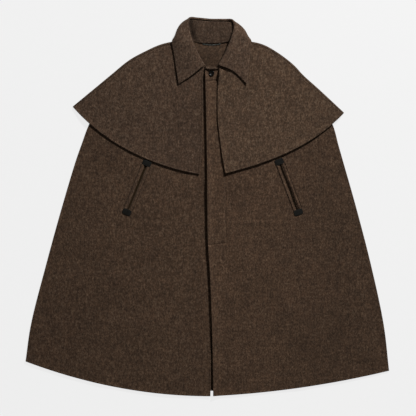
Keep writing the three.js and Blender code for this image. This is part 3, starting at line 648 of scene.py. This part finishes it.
over_hem = bend(over_edge(1.0), (272, -537), body_right(1.0))
over_panel = cut_panel(neck_oval(BODY_NECK, 257, 360), over_hem, over_edge, body_right)
# Painted light: the over front is lighter near its front edge and darker towards its side (1.12 at X 100 down to
# 0.88 at X 420), for the light's fall-off.
over_wool = wool("wool_front_over", (1.03, 0.915, 0.8), 16.3, ("X", 100, 420, 1.12, 0.88))
front_over, over_face, fly_rows = lay("cloak_front_over", over_panel, lambda x, y, v: under_over_front(x, y), 4,
                                      over_wool, relief=over_relief, sewn_edges=["bottom", "left"], rows=FLY_ROWS)
cut_pocket(front_over, "right")
over_stitches = stitches("cloak_front_over_stitches",
                         [over_face[-1 - SEAM_AT], over_face[:, SEAM_AT], *fly_rows], sewing_thread)
declare(front_over, "front_over", [over_stitches])

# Each pocket is a slanted slit between two narrow folded welts, let into the front and stitched down along their
# outer sides. A strip of its cotton bag shows in the slit; its dark colour is painted shade, in a lighter copy for
# the left slit, which the light runs along, and a darker copy for the right. A rounded leather tab is sewn across
# each end, to take the strain of the hand.
TAB_LENGTH, TAB_WIDTH, TAB_THICK, TAB_OVER_SLIT = 26, 17, 1.5, 3.5
WELT_LIFT, TAB_LIFT = 0.35, 0.65


def welt(name, side, hand, under, cloth):
    length, at = pocket_place(side)
    ss, ww = np.meshgrid(steps_between(length, 44), steps_between(WELT_WIDTH, 8), indexing="ij")
    p = at(ss, hand * (SLIT / 2 + ww))
    x, y = p[..., 0], p[..., 1]
    away = np.minimum(np.minimum(ss, length - ss), np.minimum(ww, WELT_WIDTH - ww))
    if hand < 0:
        crown = 1.8 * hump(ww, 7, 3) * smooth((WELT_WIDTH - ww) / 3) - 1.2 * hump(ww, 0, 3)
    else:
        crown = 1.5 * hump(ww, 4.5, 2.2) - 1.6 * hump(ww, 0, 2.6)
    low = under(x, y) + WELT_LIFT
    high = low + CLOTH + crown + front_relief(x, y) - rolled(away)
    face, back = np.dstack([x, y, high]), np.dstack([x, y, low + rolled(away)])
    if hand < 0:
        face, back = face[:, ::-1], back[:, ::-1]
    return shell(name, face, back, cloth), at, length


def bag_strip(side, under):
    """The part of the pocket bag that shows in the slit."""
    length, at = pocket_place(side)
    wide = np.linspace(-SLIT / 2 - 3, SLIT / 2 + 3, 8)
    ss, ww = np.meshgrid(np.linspace(-1, length + 1, 40), wide, indexing="ij")
    p = at(ss, ww)
    z = under(p[..., 0], p[..., 1])
    return shell(f"pocket_{side}_bag_cotton_painted_shade", np.dstack([p, z + 0.1]), np.dstack([p, z - 0.4]), bag_cotton_painted_shade[side])


def leather(name):
    """Dark green-black calf with a fine grain and a slight shine."""
    material, where, add, ramp, shader = new_finish(name)
    grain = add("TexVoronoi", {"Vector": where, "Scale": 900}, "Distance")
    dye = ramp(add("TexNoise", {"Vector": where, "Scale": 160}, "Fac"),
               (0, (0.0030, 0.0030, 0.0026)), (1, (0.0125, 0.0122, 0.0105)))
    bump = add("Bump", {"Height": grain, "Strength": 0.3, "Distance": 0.0004}, "Normal")
    shader({"Base Color": dye, "Normal": bump, "Roughness": 0.55, "Specular IOR Level": 0.08})
    return material


def stacked_rings(name, rings, material, upwards=True):
    """A closed piece from rings of points, from its foot up to its top or from its top down to its foot."""
    n, last = len(rings[0]), len(rings) - 1
    faces = [(j * n + k, j * n + (k + 1) % n, (j + 1) * n + (k + 1) % n, (j + 1) * n + k)
             for j in range(last) for k in range(n)]
    ends = [range(n)[::-1], range(last * n, (last + 1) * n)]
    if not upwards:
        faces = [(a, d, c, b) for a, b, c, d in faces]
        ends = [end[::-1] for end in ends]
    return make_piece(name, np.vstack(rings), faces + ends, material)


def tab(name, side, end, under):
    """A rounded oblong, with the groove that its stitches pull in round its edge, and the path of the stitches."""
    length, at = pocket_place(side)
    beyond = TAB_WIDTH / 2 - TAB_OVER_SLIT
    middle = -beyond if end == "top" else length + beyond
    turn = np.linspace(0, 2 * math.pi, 65)[:-1]
    ex = np.sign(np.cos(turn)) * np.abs(np.cos(turn)) ** 0.42 * TAB_LENGTH / 2
    ey = np.sign(np.sin(turn)) * np.abs(np.sin(turn)) ** 0.42 * TAB_WIDTH / 2
    groove = (0.83, 0.86)
    rings = [(1.0, 0.5), (0.995, 0.75), (0.975, 0.93), (0.93, 1.0), (0.87, 0.98), groove, (0.79, 0.98),
             (0.7, 1.04), (0.5, 1.1), (0.25, 1.12)]

    def ring(size, lift):
        p = at(middle + ey * size, ex * size)
        z = under(*p.T) + CLOTH + TAB_LIFT + front_relief(*p.T) + TAB_THICK * lift
        return np.column_stack([p, z])
    lower = [ring(size, 1 - lift if lift < 0.99 else 0) for size, lift in rings[3:0:-1]]
    upper = [ring(size, lift) for size, lift in rings]
    row = ring(*groove)
    return stacked_rings(name, [*lower, *upper], tab_leather), np.vstack([row, row[:1]])


tab_leather = leather("tab_leather")
# Painted shade: the bag strips are dark for the shade in the slits, lighter in the left slit, where the light runs
# along it, and darker in the right.
bag_cotton_painted_shade = {"left": thread("bag_cotton_left", (0.0185, 0.0118, 0.0056)),
              "right": thread("bag_cotton_right", (0.0078, 0.0050, 0.0026))}
tab_thread = thread("tab_thread", (0.016, 0.016, 0.013))
for side, under, cloth, panel_name in (("left", under_front, front_wool, "cloak_front_under"),
                                       ("right", under_over_front, over_wool, "cloak_front_over")):
    outward = -1 if side == "left" else 1
    for part, hand in (("inner", outward), ("outer", -outward)):
        name = f"pocket_{side}_welt_{part}"
        piece, at, length = welt(f"{name}_cloth", side, hand, under, cloth)
        s = np.linspace(2, length - 2, 60)
        p = at(s, np.full_like(s, hand * (SLIT / 2 + WELT_WIDTH + 1.9)))
        path = np.column_stack([p, under(*p.T) + CLOTH + front_relief(*p.T)])
        extras = [stitches(f"{name}_stitches", [path], sewing_thread)]
        if part == "inner":
            extras.append(bag_strip(side, under))
        declare(piece, name, extras)
    for end in ("top", "foot"):
        name = f"pocket_{side}_{end}_tab"
        piece, path = tab(f"{name}_leather", side, end, under)
        row = stitches(f"{name}_stitches", [path], tab_thread, pitch=2.6, length=1.9, width=0.5, rise=0.22)
        stand_for(piece, f"pocket_{side}_tab_{end}", [row])

# The two cape fronts hang free over the cloak from the shoulder seams to the front edge. Each lies smooth on the
# chest and stands off the cloak along its hem, which is turned, pressed and sewn like the front edge.
cape_seams = {"left": shoulder_seam(fold_left), "right": shoulder_seam(fold_right)}
cape_edges = {"left": line_through([(-12.5, 406), (-14, 193), (-23, 93.5)]),
              "right": line_through([(34, 407), (34.5, 388), (31.5, 366), (29.5, 335), (30, 251), (35.5, 199),
                                     (42.5, 147), (52, 96)])}
CAPE_HEM = {"left": [(-298.6, 185.5), (-170.8, 119)], "right": [(178, 127), (300.4, 171.7)]}
cape_waves = {"left": soft_waves(21, 60, 170, 0.28), "right": soft_waves(33, 60, 170, 0.3)}
cape_folds = {side: [soft_fold(*fold) for fold in folds] for side, folds in {
    "left": [([(-150, 440), (-210, 360), (-262, 262)], 20, 0.9),
             ([(-95, 420), (-115, 330), (-140, 235)], 16, -0.7),
             ([(-300, 330), (-320, 280), (-330, 240)], 18, 0.8)],
    "right": [([(170, 440), (228, 360), (282, 262)], 20, 0.9),
              ([(105, 420), (128, 320), (150, 225)], 16, -0.7),
              ([(300, 320), (330, 280), (346, 240)], 18, 0.7)],
}.items()}
CAPE_HEM_CURL = {"left": lambda x, y: 0.8, "right": lambda x, y: 1.7 + 1.8 * smooth((x - 160) / 120)}
CAPE_FRONT_CURL = {"left": lambda x, y: 0.8 * smooth((400 - y) / 24),
                   "right": lambda x, y: 1.9 * smooth((400 - y) / 24) + 10.5 * hump(y, 385, 15)}


def cape_front(side, under, material):
    left = side == "left"
    seam, edge = cape_seams[side], cape_edges[side]
    sides, neck = ((seam, edge), (180, 253)) if left else ((edge, seam), (283, 360))
    hem = bend(sides[0](1.0), *CAPE_HEM[side], sides[1](1.0))
    off_shoulder = off_line(seam, 1 if left else -1)

    def relief(x, y):
        fade = smooth((off_shoulder(x, y) - 6) / 20)
        return fade * (cape_waves[side](x, y) + sum(fold(x, y) for fold in cape_folds[side]))
    free_edge = "right" if left else "left"
    curls = [("bottom", CAPE_HEM_CURL[side], 11), (free_edge, CAPE_FRONT_CURL[side], 11)]
    piece, face, _ = lay(f"cape_{side}_cloth", cut_panel(neck_oval(CAPE_NECK, *neck), hem, *sides), under, 3.8,
                         material, relief=relief, sewn_edges=["bottom", free_edge], curls=curls)
    near_left, near_right = face[:, SEAM_AT], face[:, -1 - SEAM_AT]
    paths = [face[-1 - SEAM_AT], near_right, near_left] if left else [face[-1 - SEAM_AT], near_left, near_right]
    return piece, stitches(f"cape_{side}_stitches", paths, sewing_thread)


# Painted light: the cape cloths are lighter copies of one wool, the right one lighter than the left (tone 1.2
# against 1.05), and the right cape darker again towards its tip (down to 0.8 past X 400), for the light's fall-off.
for side, under, rests, shade in (
        ("left", under_cape_left, "cloak_front_under", ((1.05, 0.97, 0.905), 5.7)),
        ("right", under_cape_right, "cloak_front_over", ((1.2, 1.12, 1.01), 8.2, ("X", 230, 400, 1, 0.8)))):
    piece, rows = cape_front(side, under, wool(f"wool_cape_{side}", *shade))
    declare(piece, f"cape_front_{side}", [rows])

# The collar is two doubled layers: a standing band sewn round the neckline, and a fall that turns over at the roll
# line. At the back it lies flat with its inner side up, and at the front the fall spreads into two points. The
# band's right end runs across the throat with its upper edge leaning out.
COLLAR_CLOTH = 3.2
# Neck seam, roll line, fullest part, outer edge, the fall's side (1 below, -1 above), the right half's difference
COLLAR_MARKS = [
    ((-12, 400.5, 13.6), (-8, 410, 18.2), (-47, 379, 21), (-83.5, 354.5, 17), -1, (10, 14, 3, -3, -0.5)),
    ((-32.8, 412, 13.6), (-18.5, 427, 20), (-53, 409, 23), (-88.5, 388, 16.5), -1, (9, 4, 3, -2, -0.5)),
    ((-51.6, 431, 13.6), (-32.8, 454.5, 21.5), (-64, 441, 24.5), (-93.7, 422.5, 16), -1, (7.5, 0, 2.2, -0.5, 0)),
    ((-63, 456, 13.6), (-44, 480.5, 22.5), (-73, 470, 25), (-98.6, 453, 16), -0.9, (5.5, 0, 1, 0, 0.3)),
    ((-66, 477, 13.4), (-51.5, 503.5, 22), (-83, 494, 23), (-102.5, 478.5, 15), -0.6, (4, 0, 0.4, 0.2, 0.2)),
    ((-57, 481, 12), (-56.5, 525, 20), (-86.5, 509.5, 14), (-92, 491, 6), 0, (3.5, 0, 0, 0, 0)),
    ((-42, 479, 9), (-51.5, 544, 14.5), (-70.5, 529, 7), (-74, 493, 2.2), 0.8, (1, 0, 0, 0, 0)),
    ((-22, 475, 7.5), (-27, 545, 10.5), (-34, 530, 2.6), (-37, 490, 1.9), 1, (0, 0, 0, 0, 0)),
    ((10.7, 473.5, 7.3), (10.7, 543.5, 9.5), (10.7, 529, 2.4), (10.7, 488, 1.9), 1, (0, 0, 0, 0, 0)),
]
THROAT_MARKS = [((17, 404.5, 14.6), (17, 398.5, 20.5)), ((4, 405, 13.8), (4, 398, 19.5)),
                ((-5.5, 407, 13.4), (-5.5, 400.5, 18.4))]


def collar_sections(count):
    """Sections across the collar from its left end to its right: the band's two edges and the fall's line."""
    left = [[np.array(p, float) for p in row[:4]] + [row[4]] for row in COLLAR_MARKS]
    right = []
    for neck, roll, belly, edge, turn, (out, up, lift, full, low) in COLLAR_MARKS[-2::-1]:
        shifts = ((neck, 0, 0, lift), (roll, out * 0.3, 0, lift), (belly, out * 0.6, up, full),
                  (edge, out, 0, low))
        right.append([np.array((2 * NECK_MIDDLE - p[0] + a, p[1] + b, p[2] + c))
                      for p, a, b, c in shifts] + [turn])
    marks = left + right
    for mark in marks:
        for p in mark[1:3]:
            p[1] -= 0.05 * (p[0] - NECK_MIDDLE) * smooth((p[1] - 490) / 40)
    t = np.linspace(0, 1, count)
    neck, roll, belly, edge = (line_through([m[k] for m in marks], even=False)(t) for k in range(4))
    place = t * (len(marks) - 1)
    before = np.minimum(len(marks) - 2, place.astype(int))
    turns = np.array([m[4] for m in marks])
    turn = turns[before] + (turns[before + 1] - turns[before]) * smooth(place - before)
    upright = 1 - np.abs(turn)
    reach = 4.2 + 3.3 * upright

    def towards(target, rise):
        way = target - roll
        way[:, 2] = 0
        way *= (reach / np.linalg.norm(way, axis=1))[:, None]
        way[:, 2] = rise
        return roll + way
    band_top = towards(neck, turn * 3.5 - upright * 1.6)
    crest = towards(belly, -turn * 3.5)
    falls = [line_through(p, even=False) for p in np.stack([band_top, roll, crest, belly, edge], 1)]
    return neck, band_top, upright, falls


def about_middle(grid):
    """The collar's two faces about a middle surface, drawn together round its edges, and how far each point lies
    along it both ways."""
    normal = np.cross(np.gradient(grid, axis=1), np.gradient(grid, axis=0))
    normal /= np.linalg.norm(normal, axis=-1, keepdims=True)
    run = []
    for axis in (0, 1):
        start = np.zeros_like(grid.take([0], axis)[..., 0])
        step = np.linalg.norm(np.diff(grid, axis=axis), axis=-1)
        run.append(np.concatenate([start, np.cumsum(step, axis)], axis))
    away = np.minimum.reduce([run[0], run[0][-1:] - run[0], run[1], run[1][:, -1:] - run[1]])
    half = (COLLAR_CLOTH / 2 - rolled(away, COLLAR_CLOTH))[..., None]
    return grid + normal * half, grid - normal * half, run


def crowded(count, near):
    """Steps from 0 to 1 that lie closer together at both ends."""
    inner = np.linspace(near[-1], 1 - near[-1], count)[1:-1]
    return np.concatenate([near, inner, 1 - np.array(near)[::-1]])


# Painted light: the fall is lighter over its right half (up to 1.13 past X 60), where it faces the light.
collar_wool = wool("wool_collar", (1.06, 1.0, 0.96), 11.3, ("X", -20, 60, 1, 1.13))
# Painted shade: the band is darker than the fall overall and darker still at its left end (0.7 at X -62), in the
# inner corner under the roll.
band_wool = wool("wool_band", (0.88, 0.83, 0.79), 12.9, ("X", -62, -16, 0.7, 1))
neck, band_top, upright, falls = collar_sections(241)
steps = crowded(44, (0, 0.004, 0.011, 0.02, 0.034, 0.05, 0.062, 0.074, 0.09))
fall_grid = np.stack([fall(steps) for fall in falls])
lengthwise = crowded(200, (0, 0.0006, 0.0016, 0.003, 0.0055, 0.008, 0.01))
place = lengthwise * (len(falls) - 1)
low = np.minimum(len(falls) - 2, place.astype(int))
share = (place - low)[:, None, None]
fall_grid = fall_grid[low] * (1 - share) + fall_grid[low + 1] * share
collar_creases = [soft_fold(*fold) for fold in (
    ([(-56, 552), (-53, 530), (-50, 506), (-42, 488), (-32, 477)], 9, -9),
    ([(56, 548), (68, 536), (73, 522), (67, 503)], 8, -7),
    ([(-12, 532), (2, 522), (20, 520), (40, 527)], 9, -0.9),
    ([(-20, 500), (6, 495), (30, 499), (44, 506)], 12, 1.1),
)]


def creased(grid, inner):
    """Bends a grid's points along the creases at the back of the neck, where its inner side is up."""
    grid[..., 2] += inner * sum(crease(grid[..., 0], grid[..., 1]) for crease in collar_creases)


near_roll = 14  # the fall's steps next to the roll line
creased(fall_grid[:, :near_roll], 1 - np.linspace(0, 1, near_roll) ** 2)
face, under_face, run = about_middle(fall_grid)
at_roll = 40 * (run[1] < 12)  # the ends aren't sewn where they turn over at the roll line
to_edge = np.minimum.reduce([run[1][:, -1:] - run[1], run[0] + at_roll, run[0][-1:] - run[0] + at_roll])
normal = (face - under_face) / np.maximum(np.linalg.norm(face - under_face, axis=-1, keepdims=True), 1e-6)
face = face + normal * sewn(to_edge)[..., None]
collar_fall = shell("collar_fall_cloth", face, under_face, collar_wool)


def inset_path(grid, distance, run):
    """The line that follows a fall's front end, outer edge and other end at an even distance in from them."""
    rows, cols = grid.shape[:2]

    def at(j, s):
        return np.array([np.interp(s, run[1][j], grid[j, :, k]) for k in range(3)])
    out = run[1][:, -1] - distance
    first = int(np.searchsorted(run[0][:, cols // 2], distance))
    last = rows - 1 - first
    ends = []
    for j, order in ((first, 1), (last, -1)):
        s = np.linspace(14, out[j], 24)[::order]
        ends.append([at(j, q) for q in s])
    middle = [at(j, out[j]) for j in range(first + 1, last)]
    return np.array(ends[0] + middle + ends[1])


declare(collar_fall, "collar_fall",
        [stitches("collar_fall_stitches", [inset_path(face, 5.0, run)], sewing_thread)])

way = band_top - neck
first = np.array([fall(0.1) for fall in falls]) - band_top
lengths = np.linalg.norm(way, axis=1)
turned = np.arccos(np.clip((way * first).sum(1) / lengths / np.linalg.norm(first, axis=1), -1, 1))
free = GAP + 1.7 + COLLAR_CLOTH / 2 * np.tan(turned / 2) + upright * COLLAR_CLOTH  # between the band and the roll
reach = (lengths - free) / lengths
top = neck + way * reach[:, None]
ends = [line_through([*line[[-11, -6, -1]], *[row[k] for row in THROAT_MARKS]])(np.linspace(0, 1, 70))
        for k, line in ((0, neck), (1, top))]
neck_line, top_line = (np.vstack([line[:-11], end]) for line, end in zip((neck, top), ends))
across = crowded(16, (0, 0.012, 0.03, 0.06, 0.1))
band_grid = neck_line[:, None] * (1 - across)[None, :, None] + top_line[:, None] * across[None, :, None]
creased(band_grid, 1.0)
face, under_face, _ = about_middle(band_grid)
collar_band = shell("collar_band_cloth", face, under_face, band_wool)
declare(collar_band, "collar_band")

# The button at the neck is turned from dark horn and polished: a dished disc with a rounded rim and four holes. It
# is sewn on with two crossed strands of thread.
BUTTON, HOLE_OUT = (12.2, 386.5), 1.42
BUTTON_FOOT, BUTTON_TOP = (float(corner[2]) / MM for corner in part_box("button"))


def horn(name):
    material, where, add, ramp, shader = new_finish(name)
    streaks = add("TexWave", {"Vector": where, "Scale": 90, "Distortion": 6}, "Fac")
    tint = ramp(streaks, (0, (0.0025, 0.0022, 0.002)), (1, (0.008, 0.007, 0.006)))
    shader({"Base Color": tint, "Roughness": 0.24, "Specular IOR Level": 0.1})
    return material


def turned_button(name, middle, base, material):
    """A dished disc with a rounded rim and four holes, as rings of points about its middle."""
    profile = [(0, 0.8), (1.2, 0.88), (3.4, 1.5), (5.0, 2.3), (5.7, 2.62), (6.1, 2.78), (6.45, 2.88), (6.9, 2.97),
               (7.35, 3.0), (7.8, 2.86), (8.15, 2.5), (8.3, 1.9), (8.3, 1.2), (8.0, 0.5), (7.4, 0.1), (6.6, 0),
               (0, 0)]
    radii = np.concatenate([np.linspace(0, 5, 34)[1:], [r for r, _ in profile[4:-1]]])
    lifts = np.interp(radii, *np.array(profile[:12]).T)
    lifts[-4:] = [z for _, z in profile[12:-1]]
    turn = np.linspace(0, 2 * math.pi, 97)[:-1]
    rings = []
    for radius, lift in zip(radii, lifts):
        x, y = radius * np.cos(turn), radius * np.sin(turn)
        hole = np.minimum.reduce([np.hypot(x - a * HOLE_OUT, y - b * HOLE_OUT) for a in (-1, 1) for b in (-1, 1)])
        dip = 0.6 * smooth((1.0 - hole) / 0.35) if radius < 4 else 0
        rings.append(np.column_stack([middle[0] + x, middle[1] + y, base + lift - dip + 0 * x]))
    return stacked_rings(name, rings, material, upwards=False)


button = turned_button("horn_button", BUTTON, BUTTON_FOOT, horn("polished_horn"))
strands = []
for a, b in (((1, 1), (-1, -1)), ((1, -1), (-1, 1))):
    s = np.linspace(-1, 1, 9)
    strands.append(np.column_stack([BUTTON[0] + s * a[0] * 1.5, BUTTON[1] + s * a[1] * 1.5,
                                    BUTTON_TOP - 2.0 + 0.5 * (1 - s**2)]))
button_thread = stitches("button_thread", strands, sewing_thread, pitch=1.05, length=1.4, width=0.6,
                         rise=0.3)
stand_for(button, "button", [button_thread])

# The hang loop is a narrow dark tape, woven with fine ribs. Its ends are folded under and sewn into the neck seam,
# and it sags a little between them.
LOOP_LEFT, LOOP_RIGHT, LOOP_Y, LOOP_SAG, LOOP_WIDTH, LOOP_THICK = -14, 39, 471.8, 3, 3.4, 1.8


def woven_tape(name):
    material, where, add, ramp, shader = new_finish(name)
    ribs = add("TexWave", {"Vector": where, "Scale": 500}, "Fac")
    tint = ramp(ribs, (0, (0.006, 0.007, 0.005)), (1, (0.03, 0.034, 0.027)))
    bump = add("Bump", {"Height": ribs, "Strength": 0.4, "Distance": 0.0003}, "Normal")
    shader({"Base Color": tint, "Normal": bump, "Roughness": 0.4, "Specular IOR Level": 0.3})
    return material


t = crowded(40, (0, 0.006, 0.016, 0.03))
w = crowded(8, (0, 0.08, 0.2)) - 0.5
tt, ww = np.meshgrid(t, w, indexing="ij")
x = LOOP_LEFT + (LOOP_RIGHT - LOOP_LEFT) * tt
y = LOOP_Y - LOOP_SAG * np.sin(np.pi * tt) - ww * LOOP_WIDTH
low = under_back(x, y) + CLOTH + GAP
away = np.minimum((0.5 - np.abs(ww)) * LOOP_WIDTH, np.minimum(tt, 1 - tt) * (LOOP_RIGHT - LOOP_LEFT))
drop = rolled(away, LOOP_THICK)
face = np.dstack([x, y, low + LOOP_THICK - drop])[:, ::-1]
under_face = np.dstack([x, y, low + drop])[:, ::-1]
loop = shell("hang_loop_tape", face, under_face, woven_tape("loop_tape"))
stand_for(loop, "hang_loop")

# The coat lies on a plain pale surface, seen from straight above. The light is one soft box at the upper right,
# with an even pale sky.
SURFACE_SHADE, SURFACE_GLOW, SURFACE_HALF, SURFACE_Z = 0.08, 0.801, 4000, -0.2
SKY_STRENGTH = 0.15
SOFT_BOX_POWER, SOFT_BOX_SIZE, SOFT_BOX_AWAY = 222, 0.48, 4.4
SOFT_BOX_BEARING, SOFT_BOX_RISE = math.radians(60), math.radians(38)
CAMERA_LENS, CAMERA_SENSOR = 200, 36
VIEW_WIDTH = 1206.4
VIEW_MIDDLE = (2.0, -3.8)
VIEW_LEVEL = 8  # the height above the surface at which the view is that wide

paper, where, add, ramp, shader = new_finish("surface_paper")
grain = add("TexNoise", {"Vector": where, "Scale": 60}, "Fac")
tint = ramp(grain, *((place, (SURFACE_SHADE * turn,) * 3) for place, turn in ((0, 0.995), (1, 1.005))))
shader({"Base Color": tint, "Emission Color": tint, "Emission Strength": SURFACE_GLOW / SURFACE_SHADE,
        "Roughness": 0.9, "Specular IOR Level": 0.1})
corners = [(a * SURFACE_HALF, b * SURFACE_HALF, SURFACE_Z) for a, b in ((-1, -1), (1, -1), (1, 1), (-1, 1))]
make_piece("surface", corners, [(0, 1, 2, 3)], paper)
scene = bpy.context.scene
world = bpy.data.worlds.new("studio")
world.use_nodes = True
sky = world.node_tree.nodes["Background"].inputs
sky["Strength"].default_value, sky["Color"].default_value = SKY_STRENGTH, (1, 1, 1, 1)
scene.world = world
soft_box = bpy.data.lights.new("soft_box", "AREA")
soft_box.energy, soft_box.size = SOFT_BOX_POWER, SOFT_BOX_SIZE
key = bpy.data.objects.new("soft_box", soft_box)
key.location = (SOFT_BOX_AWAY * math.cos(SOFT_BOX_RISE) * math.cos(SOFT_BOX_BEARING),
                SOFT_BOX_AWAY * math.cos(SOFT_BOX_RISE) * math.sin(SOFT_BOX_BEARING),
                SOFT_BOX_AWAY * math.sin(SOFT_BOX_RISE))
key.rotation_euler = (0, math.pi / 2 - SOFT_BOX_RISE, SOFT_BOX_BEARING)
scene.collection.objects.link(key)
lens = bpy.data.cameras.new("camera")
lens.lens, lens.sensor_width = CAMERA_LENS, CAMERA_SENSOR
lens.clip_start, lens.clip_end = 0.1, 60
camera = bpy.data.objects.new("camera", lens)
camera.location = (VIEW_MIDDLE[0] * MM, VIEW_MIDDLE[1] * MM,
                   (VIEW_WIDTH * CAMERA_LENS / CAMERA_SENSOR + VIEW_LEVEL) * MM)
scene.collection.objects.link(camera)
bpy.context.scene.camera = camera
scene.view_settings.view_transform = "Standard"
